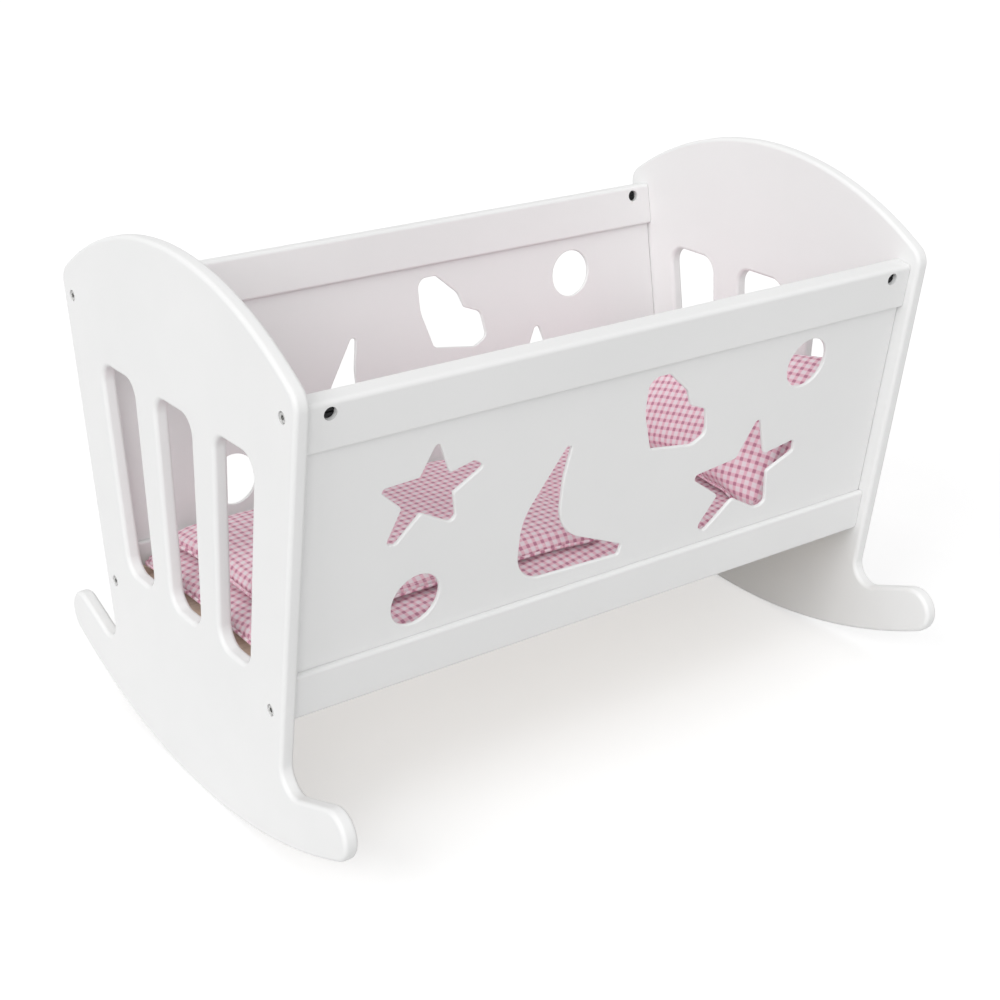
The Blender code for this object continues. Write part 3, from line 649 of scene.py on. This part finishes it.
def wood_finish(name, pale, dark, roughness, plies=0):
    """Bare wood with its grain along X, and with plies on its edges."""
    finish = Finish(name, pale, roughness)
    place = finish.place()
    rings = finish.noise(finish.stretched(place, WOOD_RINGS), 1, 3, 0.6)
    pores = finish.noise(finish.stretched(place, WOOD_PORES), 1, 3)
    colour = finish.ramp(rings, (0.35, dark), (0.62, pale))
    fine = finish.ramp(pores, (0.35, PORE_SHADE), (0.55, WHITE))
    colour = finish.mixed(0.55, colour, fine, "MULTIPLY")
    if plies:
        height = finish.parts(place)[2]
        layer = finish.math("SINE", finish.math("MULTIPLY", height, 2 * pi * plies))
        up = finish.parts(finish.node("ShaderNodeNewGeometry").outputs["Normal"])[2]
        edge = finish.ranged(finish.math("ABSOLUTE", up), 0.3, 0.6, 1, 0)
        dark_layer = finish.math("MULTIPLY", edge, finish.ranged(layer, -0.2, 0.2, 0, 0.7))
        colour = finish.mixed(dark_layer, colour, (*dark, 1))
    finish.set("Base Color", colour)
    finish.bump((pores, PORE_HEIGHT), (rings, RING_HEIGHT))
    return finish.material


def gingham_finish(name, turn, from_cloth=True):
    """Pink and white gingham of cotton, in the directions of the cloth."""
    finish = Finish(name, COTTON_COLOUR, COTTON_ROUGHNESS)
    if from_cloth:
        place = finish.node("ShaderNodeAttribute", attribute_name="cloth_place").outputs["Vector"]
    else:
        place = finish.place()
    wander = finish.noise(finish.place(), CLOTH_WANDER, 2)
    along, across, _ = finish.parts(finish.stretched(place, (1, 1, 1), turn))
    stripes = []
    threads = []
    for way in (along, across):
        shifted = finish.math("MULTIPLY_ADD", wander, CHECK_WANDER, way)
        stripes.append(finish.ranged(finish.wave(shifted, CHECK_PERIOD), -0.15, 0.6, 0, 1))
        threads.append(finish.wave(way, THREAD_PERIOD))
    both = finish.math("MULTIPLY", finish.math("ADD", *stripes), 0.5)
    colour = finish.ramp(both, (0.02, WHITE_CHECK), (0.5, PINK_CHECK), (0.98, ROSE_CHECK))
    weave = finish.math("MULTIPLY", *threads)
    fading = finish.noise(finish.place(), CLOTH_FADING, 3)
    shade = finish.ramp(fading, (0.3, FADED_SHADE), (0.7, WHITE))
    colour = finish.mixed(1.0, colour, shade, "MULTIPLY")
    creases = finish.noise(finish.place(), CLOTH_CREASES, 3)
    heights = [(weave, WEAVE_HEIGHT), (creases, CREASE_HEIGHT)]
    if from_cloth:
        first, second, edge = finish.parts(place)
        off_line = finish.math("ABSOLUTE", finish.math("SUBTRACT", edge, STITCH_INSET))
        line = finish.ranged(off_line, STITCH_WIDTH, STITCH_WIDTH / 2, 0, 1)
        run = finish.wave(finish.math("ADD", first, second), STITCH_PERIOD)
        stitch = finish.math("MULTIPLY", line, finish.ranged(run, -0.5, -0.2, 0, 1))
        faint = finish.math("MULTIPLY", stitch, 0.5)
        colour = finish.mixed(faint, colour, (*STITCH_COLOUR, 1))
        near_rim = finish.ranged(edge, 0, 3 * STITCH_INSET, 1, 0)
        pucker = finish.math("MULTIPLY", near_rim, finish.noise(place, CLOTH_PUCKERS, 1))
        groove = finish.ranged(off_line, 0, 4 * STITCH_WIDTH, 0, 1)
        heights += [(pucker, PUCKER_HEIGHT), (groove, GROOVE_HEIGHT), (stitch, STITCH_HEIGHT)]
    finish.set("Base Color", colour)
    finish.set("Sheen Weight", 0.25)
    finish.set("Sheen Roughness", 0.5)
    finish.set("Specular IOR Level", 0.25)
    finish.bump(*heights)
    return finish.material


# End panels


def end_outline():
    """Outline of an end panel: rocker, feet, necks, leaning edges and arch."""
    reach = ROCKER_RADIUS - FOOT_RADIUS
    swing = asin(FOOT_REACH / reach)
    half = arc((0, ROCKER_RADIUS), ROCKER_RADIUS, -pi / 2, swing - pi / 2, ROCKER_STEPS)[1:]
    foot = (FOOT_REACH, ROCKER_RADIUS - reach * cos(swing))
    half += arc(foot, FOOT_RADIUS, swing - pi / 2, FOOT_SLOPE + pi / 2, FOOT_STEPS)[1:]

    foot_top = half[-1]
    run = (foot_top[0] - end_half_width(foot_top[1])) / (1 - LEAN_SHARE * tan(FOOT_SLOPE))
    neck = (foot_top[0] - run, foot_top[1] - run * tan(FOOT_SLOPE))
    half += round_corner(foot_top, neck, (end_half_width(SIDE_TOP), SIDE_TOP), NECK_RADIUS)

    arch_centre = HEIGHT - ARCH_RADIUS
    inward = Vector((-cos(SLOPE), sin(SLOPE)))
    upward = Vector((sin(SLOPE), cos(SLOPE)))
    start = Vector((end_half_width(0), -arch_centre)) + inward * SHOULDER_RADIUS
    climb = start.dot(upward)
    rise = sqrt((ARCH_RADIUS - SHOULDER_RADIUS) ** 2 - start.length_squared + climb ** 2) - climb
    shoulder = start + upward * rise
    turn = atan2(shoulder.y, shoulder.x)
    steps = ceil((turn + SLOPE) / CORNER_STEP)
    half += arc((shoulder.x, shoulder.y + arch_centre), SHOULDER_RADIUS, -SLOPE, turn, steps)
    half += arc((0, arch_centre), ARCH_RADIUS, turn, pi / 2, ARCH_STEPS // 2)[1:-1]
    return [(0, 0), *half, (0, HEIGHT)] + [(-across, up) for across, up in reversed(half)]


def slot_outlines():
    """The middle slot and the two side slots, wider at the top."""
    low = SIDE_BOTTOM + SLOT_LIFT
    high = SIDE_TOP - SLOT_DROP
    low_middle, low_near, low_far = (share * end_half_width(low) for share in SLOT_LOW_SHARES)
    high_middle, high_near, high_far = (share * end_half_width(high) for share in SLOT_HIGH_SHARES)
    slots = (
        ((-low_middle, low), (low_middle, low), (high_middle, high), (-high_middle, high)),
        ((low_near, low), (low_far, low), (high_far, high), (high_near, high)),
        ((-low_far, low), (-low_near, low), (-high_near, high), (-high_far, high)),
    )
    return [rounded([(*corner, SLOT_RADIUS) for corner in slot]) for slot in slots]


def end_panel_mesh():
    """An end panel with its outer face at X = 0, its slots and its bolt holes."""
    levels = []
    for index in range(ROUND_STEPS + 1):
        angle = pi / 2 * index / ROUND_STEPS
        levels.append((END_ROUND * (1 - cos(angle)), -END_ROUND * (1 - sin(angle))))
    levels += [(END_THICK - depth, growth) for depth, growth in reversed(levels)]
    rings = [end_outline(), *slot_outlines()]
    mesh = stacked_mesh("end_panel", rings, levels, lambda x, y, z: (x, y, z))
    blank = add_object("end_panel", mesh)

    head_seat = HEAD_SUNK + HEAD_HEIGHT + FIT_GAP
    hole = turned_mesh("bolt_hole", (
        (-OVERRUN, HEAD_RADIUS + HEAD_CLEARANCE), (head_seat, HEAD_RADIUS + HEAD_CLEARANCE),
        (head_seat, BOLT_RADIUS + HEAD_CLEARANCE), (END_THICK + OVERRUN, BOLT_RADIUS + HEAD_CLEARANCE),
    ), FASTENER_STEPS)
    cutters = []
    for along in BOLT_HEIGHTS.values():
        height = SIDE_BOTTOM + along * cos(SLOPE) + SIDE_THICK / 2 * sin(SLOPE)
        across = BOTTOM_WIDTH / 2 + along * sin(SLOPE) - SIDE_THICK / 2 * cos(SLOPE)
        for side in SIDES.values():
            cutters.append(add_object("bolt_hole", hole, location=(0, side * across, height)))
    return cut_mesh(blank, cutters)


def add_end_panels(finish):
    """The two end panels, their outer faces outwards."""
    mesh = end_panel_mesh()
    for name, end in ENDS.items():
        turn = 0 if end < 0 else pi
        place = (end * LENGTH / 2, 0, 0)
        panel = add_object(f"painted_end_{name}", mesh, finish, location=place, rotation=(0, 0, turn))
        even_shading(panel)
        ride_for(panel, "cradle", "white_paint", f"end_panel_{name}")


# Sides


def side_frame(name, side):
    """Empty on a side's front face, at its bottom edge, leaning with the side.

    The front faces of both sides look to the front. X runs along a side, Y into it and Z up its
    slope.
    """
    behind = SIDE_THICK if side > 0 else 0
    across = side * BOTTOM_WIDTH / 2 - behind * cos(SLOPE)
    height = SIDE_BOTTOM + behind * sin(SLOPE)
    return add_object(name, None, location=(0, across, height), rotation=(-side * SLOPE, 0, 0))


def rail_section(level):
    """Section of a rail as (depth, up), with rounded edges and the slot that holds the panel."""
    points = rounded((
        (0, 0, SIDE_ROUND), (SIDE_THICK, 0, SIDE_ROUND),
        (SIDE_THICK, RAIL_HEIGHT, SIDE_ROUND), (0, RAIL_HEIGHT, LIP_ROUND),
    ))
    near = PANEL_DEPTH - FIT_GAP
    far = PANEL_DEPTH + PANEL_THICK + FIT_GAP
    floor = RAIL_HEIGHT - RAIL_SLOT_DEPTH - FIT_GAP
    slot = [(far, RAIL_HEIGHT), (far, floor), (near, floor), (near, RAIL_HEIGHT)]
    fourth_corner = len(points) * 3 // 4
    points[fourth_corner:fourth_corner] = slot
    if level == "high":
        points = [(depth, SIDE_HEIGHT - up) for depth, up in points]
    return points


def rail_blank(name, level, parent):
    """A rail without its holes."""
    points = rail_section(level)
    shape = bmesh.new()
    ends = (-SIDE_LENGTH / 2, SIDE_LENGTH / 2)
    loops = [[shape.verts.new((x, *point)) for point in points] for x in ends]
    join_loops(shape, loops)
    for loop in loops:
        shape.faces.new(loop)
    return add_object(name, finished_mesh(name, shape), parent=parent)


def figure(shares, span_share, place_shares):
    """Outline of a figure in a panel, from its corners' shares, its span and its place."""
    span = span_share * OPEN_HEIGHT
    across = place_shares[0] * SIDE_LENGTH
    up = RAIL_HEIGHT + place_shares[1] * OPEN_HEIGHT
    corners = [(across + x * span, up + y * span, radius * span) for x, y, radius in shares]
    return anticlockwise(rounded(corners))


def oval(place_shares):
    """Outline of an oval opening in a panel."""
    across = place_shares[0] * SIDE_LENGTH
    up = RAIL_HEIGHT + place_shares[1] * OPEN_HEIGHT
    long_share, short_share = OVAL_SPAN_SHARES
    points = []
    for x, y in arc((0, 0), 1, 0, 2 * pi, OVAL_STEPS)[:-1]:
        long_way = x * long_share * OPEN_HEIGHT / 2
        short_way = y * short_share * OPEN_HEIGHT / 2
        points.append((
            across + long_way * cos(OVAL_TILT) - short_way * sin(OVAL_TILT),
            up + long_way * sin(OVAL_TILT) + short_way * cos(OVAL_TILT),
        ))
    return points


def panel_mesh():
    """A thin panel with its two stars, moon, heart and two ovals, in the frame of its side."""
    half_length = SIDE_LENGTH / 2
    low = RAIL_HEIGHT - RAIL_SLOT_DEPTH
    high = SIDE_HEIGHT - low
    rings = (
        [(-half_length, low), (half_length, low), (half_length, high), (-half_length, high)],
        figure(STAR_A_SHARES, STAR_A_SPAN_SHARE, STAR_A_PLACE_SHARES),
        figure(STAR_B_SHARES, STAR_B_SPAN_SHARE, STAR_B_PLACE_SHARES),
        figure(MOON_SHARES, MOON_SPAN_SHARE, MOON_PLACE_SHARES),
        figure(HEART_SHARES, HEART_SPAN_SHARE, HEART_PLACE_SHARES),
        oval(HIGH_OVAL_PLACE_SHARES),
        oval(LOW_OVAL_PLACE_SHARES),
    )
    levels = []
    for index in range(PANEL_ROUND_STEPS + 1):
        angle = pi / 2 * index / PANEL_ROUND_STEPS
        levels.append((PANEL_ROUND * (1 - cos(angle)), -PANEL_ROUND * (1 - sin(angle))))
    levels += [(PANEL_THICK - depth, growth) for depth, growth in reversed(levels)]
    return stacked_mesh("panel", rings, levels, lambda depth, x, z: (x, PANEL_DEPTH + depth, z))


def hole_mesh(name, start, end, radius):
    """Cutter for a round hole along X."""
    return turned_mesh(name, ((start, radius), (end, radius)), FASTENER_STEPS)


def nut_rotation(level, spin=0):
    """Rotation of a barrel nut or its hole: into the front face, or up from the bottom edge."""
    return (spin, 0, pi / 2) if level == "high" else (spin, -pi / 2, 0)


def fastener_cutters(level, parent):
    """Cutters for the bolts and the barrel nuts of a rail."""
    bolt_reach = BOLT_END - END_THICK
    nut_reach = (BOLT_INSET if level == "low" else SIDE_THICK / 2) + NUT_LENGTH / 2 + FIT_GAP
    bolt_hole = hole_mesh("bolt_hole", -OVERRUN, bolt_reach, BOLT_RADIUS + HEAD_CLEARANCE)
    nut_hole = hole_mesh("nut_hole", -OVERRUN, nut_reach, NUT_RADIUS + FIT_GAP)
    up = BOLT_HEIGHTS[level]
    cutters = []
    for end in ENDS.values():
        face = (end * SIDE_LENGTH / 2, SIDE_THICK / 2, up)
        inset = end * (SIDE_LENGTH / 2 - NUT_INSET)
        mouth = (inset, 0, up) if level == "high" else (inset, SIDE_THICK / 2, 0)
        turn = 0 if end < 0 else pi
        cutters.append(add_object("bolt_hole", bolt_hole, None, parent, face, (0, 0, turn)))
        cutters.append(add_object("nut_hole", nut_hole, None, parent, mouth, nut_rotation(level)))
    return cutters


def add_side(name, side, mesh, finish):
    """A side's panel and rails in its leaning frame, which is returned."""
    leaning = side_frame(f"{name}_frame", side)
    panel = add_object(f"painted_panel_{name}", mesh, finish, leaning)
    even_shading(panel)
    ride_for(panel, "cradle", "white_paint", f"side_panel_{name}")
    for level in BOLT_HEIGHTS:
        rail_name = f"side_rail_{name}_{level}"
        blank = rail_blank(rail_name, level, leaning)
        mesh = cut_mesh(blank, fastener_cutters(level, leaning))
        rail = add_object(f"painted_rail_{name}_{level}", mesh, finish, leaning)
        even_shading(rail)
        ride_for(rail, "cradle", "white_paint", rail_name)
    return leaning


# Bolts and barrel nuts


def bolt_mesh():
    """A socket-head bolt along X, with the top of its head at X = 0."""
    tip = HEAD_HEIGHT + BOLT_LENGTH
    return turned_mesh("bolt", (
        (SOCKET_DEPTH, SOCKET_RADIUS), (0, SOCKET_RADIUS), (0, HEAD_RADIUS - BOLT_CHAMFER),
        (BOLT_CHAMFER, HEAD_RADIUS), (HEAD_HEIGHT, HEAD_RADIUS), (HEAD_HEIGHT, BOLT_RADIUS),
        (tip - BOLT_CHAMFER, BOLT_RADIUS), (tip, BOLT_RADIUS - BOLT_CHAMFER),
    ), FASTENER_STEPS, sides=6)


def nut_mesh():
    """A barrel nut along X about its middle, with a cross hole along Z and a slot in one end."""
    half = NUT_LENGTH / 2
    profile = (
        (-half, NUT_RADIUS - BOLT_CHAMFER), (BOLT_CHAMFER - half, NUT_RADIUS),
        (half - BOLT_CHAMFER, NUT_RADIUS), (half, NUT_RADIUS - BOLT_CHAMFER),
    )
    blank = add_object("barrel_nut", turned_mesh("barrel_nut", profile, FASTENER_STEPS))
    reach = NUT_RADIUS + OVERRUN
    cross_hole = hole_mesh("cross_hole", -reach, reach, BOLT_RADIUS + FIT_GAP)
    cross = add_object("cross_hole", cross_hole, rotation=(0, pi / 2, 0))
    low = (-half - OVERRUN, -NUT_SLOT_WIDTH / 2, -reach)
    high = (-half + NUT_SLOT_DEPTH, NUT_SLOT_WIDTH / 2, reach)
    slot = add_object("driver_slot", box_mesh("driver_slot", low, high))
    return cut_mesh(blank, [cross, slot])


def add_fasteners(side_name, leaning, bolt_finish, nut_finish, bolt, nut):
    """The four bolts and the four barrel nuts of one side."""
    for end_name, end in ENDS.items():
        for level, up in BOLT_HEIGHTS.items():
            place = f"{end_name}_{side_name}_{level}"
            head = (end * (LENGTH / 2 - HEAD_SUNK), SIDE_THICK / 2, up)
            middle = (end * (SIDE_LENGTH / 2 - NUT_INSET), SIDE_THICK / 2, up)
            turn = 0 if end < 0 else pi
            spin = pi / 2 if level == "high" else 0
            item = add_object(f"fine_bolt_{place}", bolt, bolt_finish, leaning, head, (0, 0, turn))
            ride_for(item, "cradle", "zinc_steel", f"bolt_{place}")
            rotation = nut_rotation(level, spin)
            item = add_object(f"fine_nut_{place}", nut, nut_finish, leaning, middle, rotation)
            ride_for(item, "cradle", "zinc_steel", f"barrel_nut_{place}")


# Bedding


def plan_place(along, across, size, draw, corner):
    """Where a cushion's grid point lies in plan, with drawn-in sides and rounded corners."""
    half_length = size[0] / 2
    half_width = size[1] / 2
    into = max(0, (abs(along) * half_length - half_length) / corner + 1)
    over = max(0, (abs(across) * half_width - half_width) / corner + 1)
    x = min(abs(along) * half_length, half_length - corner) + corner * into * sqrt(1 - over ** 2 / 2)
    y = min(abs(across) * half_width, half_width - corner) + corner * over * sqrt(1 - into ** 2 / 2)
    x -= draw * abs(along) * (1 - across ** 2)
    y -= draw * abs(across) * (1 - along ** 2)
    return (x if along > 0 else -x, y if across > 0 else -y)


def run_lengths(points):
    """Lengths along a row of points, from its middle."""
    lengths = [0]
    for here, there in zip(points, points[1:]):
        lengths.append(lengths[-1] + (there - here).length)
    return [length - lengths[-1] / 2 for length in lengths]


class Cushion:
    """A closed cushion of two sheets sewn together round their rim."""

    def __init__(self, name, size, top_powers, base_powers, seam_share, draw, corner, skew=0):
        self.name = name
        self.steps = [max(2, round(extent / CLOTH_STEP)) for extent in size[:2]]
        seam = size[2] * seam_share
        self.points = []
        self.places = []
        self.sheets = []
        self.rim = {}
        for reach, powers in ((size[2] - seam, top_powers), (-seam, base_powers)):
            sheet = []
            for row in range(self.steps[0] + 1):
                along = 2 * row / self.steps[0] - 1
                line = []
                for column in range(self.steps[1] + 1):
                    across = 2 * column / self.steps[1] - 1
                    fullness = (1 - abs(along) ** powers[0]) * (1 - abs(across) ** powers[1])
                    x, y = plan_place(along, across, size, draw, corner)
                    x += skew * across * ((1 + along) / 2) ** 2
                    line.append(Vector((x, y, seam + reach * sqrt(max(0, fullness)))))
                sheet.append(line)
            self.add_sheet(sheet)

    def add_sheet(self, sheet):
        """Number a sheet's points, sharing those on the rim, and note where each is on the cloth."""
        along = list(zip(*[run_lengths(line) for line in zip(*sheet)]))
        across = [run_lengths(line) for line in sheet]
        numbers = []
        for row, line in enumerate(sheet):
            numbers.append([])
            for column, point in enumerate(line):
                at_rim = row in (0, self.steps[0]) or column in (0, self.steps[1])
                if at_rim and (row, column) in self.rim:
                    numbers[-1].append(self.rim[row, column])
                    continue
                u = along[row][column]
                v = across[row][column]
                edge = min(-abs(u) - along[0][column], -abs(v) - across[row][0])
                numbers[-1].append(len(self.points))
                self.points.append(point)
                self.places.append((u, v, max(0, edge)))
                if at_rim:
                    self.rim[row, column] = numbers[-1][-1]
        self.sheets.append(numbers)

    def move(self, matrix):
        """Move all points."""
        self.points = [matrix @ point for point in self.points]

    def rim_loop(self):
        """Numbers of the points round the rim, in order."""
        rows, columns = self.steps
        loop = [(0, column) for column in range(columns)]
        loop += [(row, columns) for row in range(rows)]
        loop += [(rows, column) for column in range(columns, 0, -1)]
        loop += [(row, 0) for row in range(rows, 0, -1)]
        return [self.rim[place] for place in loop]

    def mesh(self):
        """The cushion's mesh, with each point's place on the cloth."""
        faces = []
        for number, sheet in enumerate(self.sheets):
            for first, second in zip(sheet, sheet[1:]):
                for column in range(self.steps[1]):
                    face = (first[column], second[column], second[column + 1], first[column + 1])
                    faces.append(face[::-1] if number else face)
        made = bpy.data.meshes.new(self.name)
        made.from_pydata(self.points, [], faces)
        made.shade_smooth()
        place = made.attributes.new("cloth_place", "FLOAT_VECTOR", "POINT")
        place.data.foreach_set("vector", [value for point in self.places for value in point])
        return made

    def blow_up(self, item, cap):
        """Let cloth with some slack swell under pressure, and move the points no further than a cap."""
        for vertex, point in zip(item.data.vertices, self.points):
            shift = noise.noise_vector(point * RUFFLE_SCALE) * RUFFLE
            vertex.co = point + shift
        cloth = item.modifiers.new("cover", "CLOTH")
        settings = cloth.settings
        settings.quality = CLOTH_QUALITY
        settings.mass = CLOTH_MASS
        settings.tension_stiffness = STRETCH_STIFFNESS
        settings.compression_stiffness = STRETCH_STIFFNESS
        settings.shear_stiffness = SHEAR_STIFFNESS
        settings.bending_stiffness = BENDING_STIFFNESS
        settings.use_pressure = True
        settings.uniform_pressure_force = PRESSURE
        settings.shrink_min = -SLACK_SHARE
        settings.effector_weights.gravity = 0
        cloth.collision_settings.use_collision = False
        scene = bpy.context.scene
        for number in range(1, LAST_FRAME + 1):
            scene.frame_set(number)
        swollen = evaluated_mesh(item)
        for index, (point, vertex) in enumerate(zip(self.points, swollen.vertices)):
            shift = vertex.co - point
            if shift.length:
                self.points[index] = point + shift * cap * tanh(shift.length / cap) / shift.length
        item.modifiers.remove(cloth)
        scene.frame_set(1)
        bpy.data.meshes.remove(swollen)
        for vertex, point in zip(item.data.vertices, self.points):
            vertex.co = point


def add_piping(cushion, finish, body, keep):
    """The sewn rim of a cushion, as a thin roll of its cloth inside the space it has."""
    curve = bpy.data.curves.new(f"{cushion.name}_seam", "CURVE")
    curve.dimensions = "3D"
    curve.bevel_depth = PIPING_RADIUS
    curve.bevel_resolution = 3
    loop = [keep(cushion.points[number], PIPING_RADIUS) for number in cushion.rim_loop()]
    spline = curve.splines.new("POLY")
    spline.points.add(len(loop) - 1)
    for point, place in zip(spline.points, loop):
        point.co = (*place, 1)
    spline.use_cyclic_u = True
    curve.materials.append(finish)
    piping = add_object(f"{cushion.name}_seam", curve)
    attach(piping, body)


def add_cushion(cushion, finish, seam_finish, body, cap, keep):
    """A cushion with its sewn rim, on its body. keep moves a point back into the space it has."""
    item = add_object(f"{cushion.name}_cover", cushion.mesh(), finish)
    cushion.blow_up(item, cap)
    smoother = item.modifiers.new("smoother", "SUBSURF")
    smoother.levels = 1
    smoother.render_levels = 1
    mesh = evaluated_mesh(item)
    item.modifiers.remove(smoother)
    for vertex in mesh.vertices:
        vertex.co = keep(vertex.co)
    mesh.shade_smooth()
    item.data = mesh
    ride_for(item, body, "pink_cotton", body)
    add_piping(cushion, seam_finish, body, keep)


def add_mattress(finish, seam_finish):
    """The mattress, on the board."""
    half_length = INNER_END - MATTRESS_END_CLEARANCE
    half_width = inner_half_width(MATTRESS_BOTTOM) - MATTRESS_SIDE_CLEARANCE
    size = (2 * half_length - SHRUNK, 2 * half_width - SHRUNK, MATTRESS_THICK - SHRUNK)
    cushion = Cushion(
        "mattress", size, MATTRESS_TOP_POWERS, FLAT_POWERS, MATTRESS_SEAM_SHARE, MATTRESS_DRAW,
        MATTRESS_CORNER)
    cushion.move(Matrix.Translation((0, 0, MATTRESS_BOTTOM)))

    def keep(point, margin=0):
        return Vector((
            max(margin - half_length, min(half_length - margin, point.x)),
            max(margin - half_width, min(half_width - margin, point.y)),
            max(MATTRESS_BOTTOM + margin, min(MATTRESS_TOP - margin, point.z)),
        ))

    add_cushion(cushion, finish, seam_finish, "mattress", SHRUNK, keep)


def add_quilt(finish, seam_finish):
    """The quilt, flat on the foot end of the mattress and close to the back side."""
    half_width = inner_half_width(MATTRESS_TOP)
    front = QUILT_FRONT_CLEARANCE - half_width
    back = half_width - QUILT_BACK_CLEARANCE
    size = (QUILT_LENGTH - SHRUNK, back - front - SHRUNK, QUILT_THICK - SHRUNK)
    cushion = Cushion(
        "quilt", size, QUILT_TOP_POWERS, FLAT_POWERS, QUILT_SEAM_SHARE, QUILT_DRAW, QUILT_CORNER,
        QUILT_SKEW)
    middle = QUILT_LENGTH / 2 + QUILT_END_CLEARANCE - INNER_END
    bottom = MATTRESS_TOP + FIT_GAP
    cushion.move(Matrix.Translation((middle, (front + back) / 2, bottom)))

    def keep(point, margin=0):
        return Vector((point.x, point.y, max(bottom + margin, point.z)))

    add_cushion(cushion, finish, seam_finish, "quilt", 2 * SHRUNK, keep)


def add_pillow(finish, seam_finish):
    """The pillow, standing on the mattress and leaning on the head end panel."""
    size = (PILLOW_LENGTH - SHRUNK, PILLOW_WIDTH - SHRUNK, PILLOW_THICK - 2 * SHRUNK)
    cushion = Cushion(
        "pillow", size, PILLOW_POWERS, PILLOW_POWERS, PILLOW_SEAM_SHARE, PILLOW_DRAW,
        PILLOW_CORNER, PILLOW_SKEW)
    cushion.move(Matrix.Rotation(-PILLOW_LEAN, 4, "Y"))
    bottom = MATTRESS_TOP + FIT_GAP
    end = INNER_END - FIT_GAP
    across = end - max(point.x for point in cushion.points)
    height = bottom - min(point.z for point in cushion.points)
    cushion.move(Matrix.Translation((across, -PILLOW_SHIFT, height)))

    def keep(point, margin=0):
        return Vector((min(end - margin, point.x), point.y, max(bottom + margin, point.z)))

    add_cushion(cushion, finish, seam_finish, "pillow", 2 * SHRUNK, keep)


# Surroundings


def add_surroundings():
    """Pale floor, white background and soft light from the upper left."""
    floor_finish = Finish("floor", FLOOR_COLOUR, FLOOR_ROUGHNESS)
    glow = floor_finish.ranged(floor_finish.seen(), 0, 1, 0, FLOOR_GLOW)
    floor_finish.set("Emission Color", (*WHITE, 1))
    floor_finish.set("Emission Strength", glow)
    floor_finish.set("Specular IOR Level", 0.0)
    shape = bmesh.new()
    bmesh.ops.create_grid(shape, x_segments=1, y_segments=1, size=FLOOR_SIZE)
    mesh = finished_mesh("floor", shape)
    floor = add_object("floor", mesh, floor_finish.material, location=(0, 0, -FIT_GAP))

    bpy.context.scene.world = bpy.data.worlds.new("studio")
    sky = Nodes(bpy.context.scene.world, "Background")
    sky.set("Color", (*WHITE, 1))
    sky.set("Strength", sky.ranged(sky.seen(), 0, 1, WORLD_STRENGTH, 1))

    for name, (direction, energy, angle) in LAMPS.items():
        lamp = bpy.data.lights.new(name, "SUN")
        lamp.energy = energy
        lamp.angle = angle
        item = add_object(name, lamp)
        item.rotation_euler = Vector(direction).to_track_quat("Z", "Y").to_euler()


def add_camera():
    """Camera at the photograph's place."""
    lens = bpy.data.cameras.new("camera")
    lens.lens = CAMERA_LENS
    lens.shift_x, lens.shift_y = CAMERA_SHIFT
    lens.clip_start = 0.01
    camera = add_object("camera", lens)
    aim = (Vector(CAMERA_TARGET) - Vector(CAMERA_PLACE)).to_track_quat("-Z", "Y").to_matrix().to_4x4()
    camera.matrix_world = Matrix.Translation(CAMERA_PLACE) @ aim @ Matrix.Rotation(CAMERA_ROLL, 4, "Z")
    bpy.context.scene.camera = camera


def dress_nodes(pine, plywood, steel):
    """Better finishes and softer edges for the nodes that stay."""
    for name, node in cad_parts.items():
        if name == "base_board":
            finish = plywood
        elif name.startswith("batten_screw"):
            finish = steel
        elif name.startswith("batten"):
            finish = pine
        else:
            continue
        node.material_slots[0].material = finish
        if not name.startswith("batten_screw"):
            softer = node.modifiers.new("soft_edges", "BEVEL")
            softer.width = WOOD_EDGE
            softer.segments = 2
            softer.angle_limit = SMOOTH_ANGLE


def main():
    """Dress the frame."""
    bpy.context.scene.view_settings.view_transform = "Standard"
    add_camera()
    add_surroundings()
    paint = paint_finish()
    steel = steel_finish("zinc_steel", STEEL_COLOUR, STEEL_ROUGHNESS)
    # The barrel nuts get near-black steel, which is painted shade of their holes
    painted_shade_steel = steel_finish("painted_shade_steel", NUT_PAINTED_SHADE_COLOUR, DARK_STEEL_ROUGHNESS)
    pine = wood_finish("pine", PALE_PINE, DARK_PINE, PINE_ROUGHNESS)
    plywood = wood_finish("plywood", PALE_PLYWOOD, DARK_PLYWOOD, PLYWOOD_ROUGHNESS, WOOD_PLIES)
    dress_nodes(pine, plywood, steel)
    add_end_panels(paint)
    bolt = bolt_mesh()
    nut = nut_mesh()
    panel = panel_mesh()
    for name, side in SIDES.items():
        leaning = add_side(name, side, panel, paint)
        add_fasteners(name, leaning, steel, painted_shade_steel, bolt, nut)
        bpy.data.objects.remove(leaning)
    seam = gingham_finish("gingham_seam", SEAM_TURN, from_cloth=False)
    add_mattress(gingham_finish("gingham_mattress", MATTRESS_TURN), seam)
    add_quilt(gingham_finish("gingham_quilt", QUILT_TURN), seam)
    add_pillow(gingham_finish("gingham_pillow", PILLOW_TURN), seam)


main()
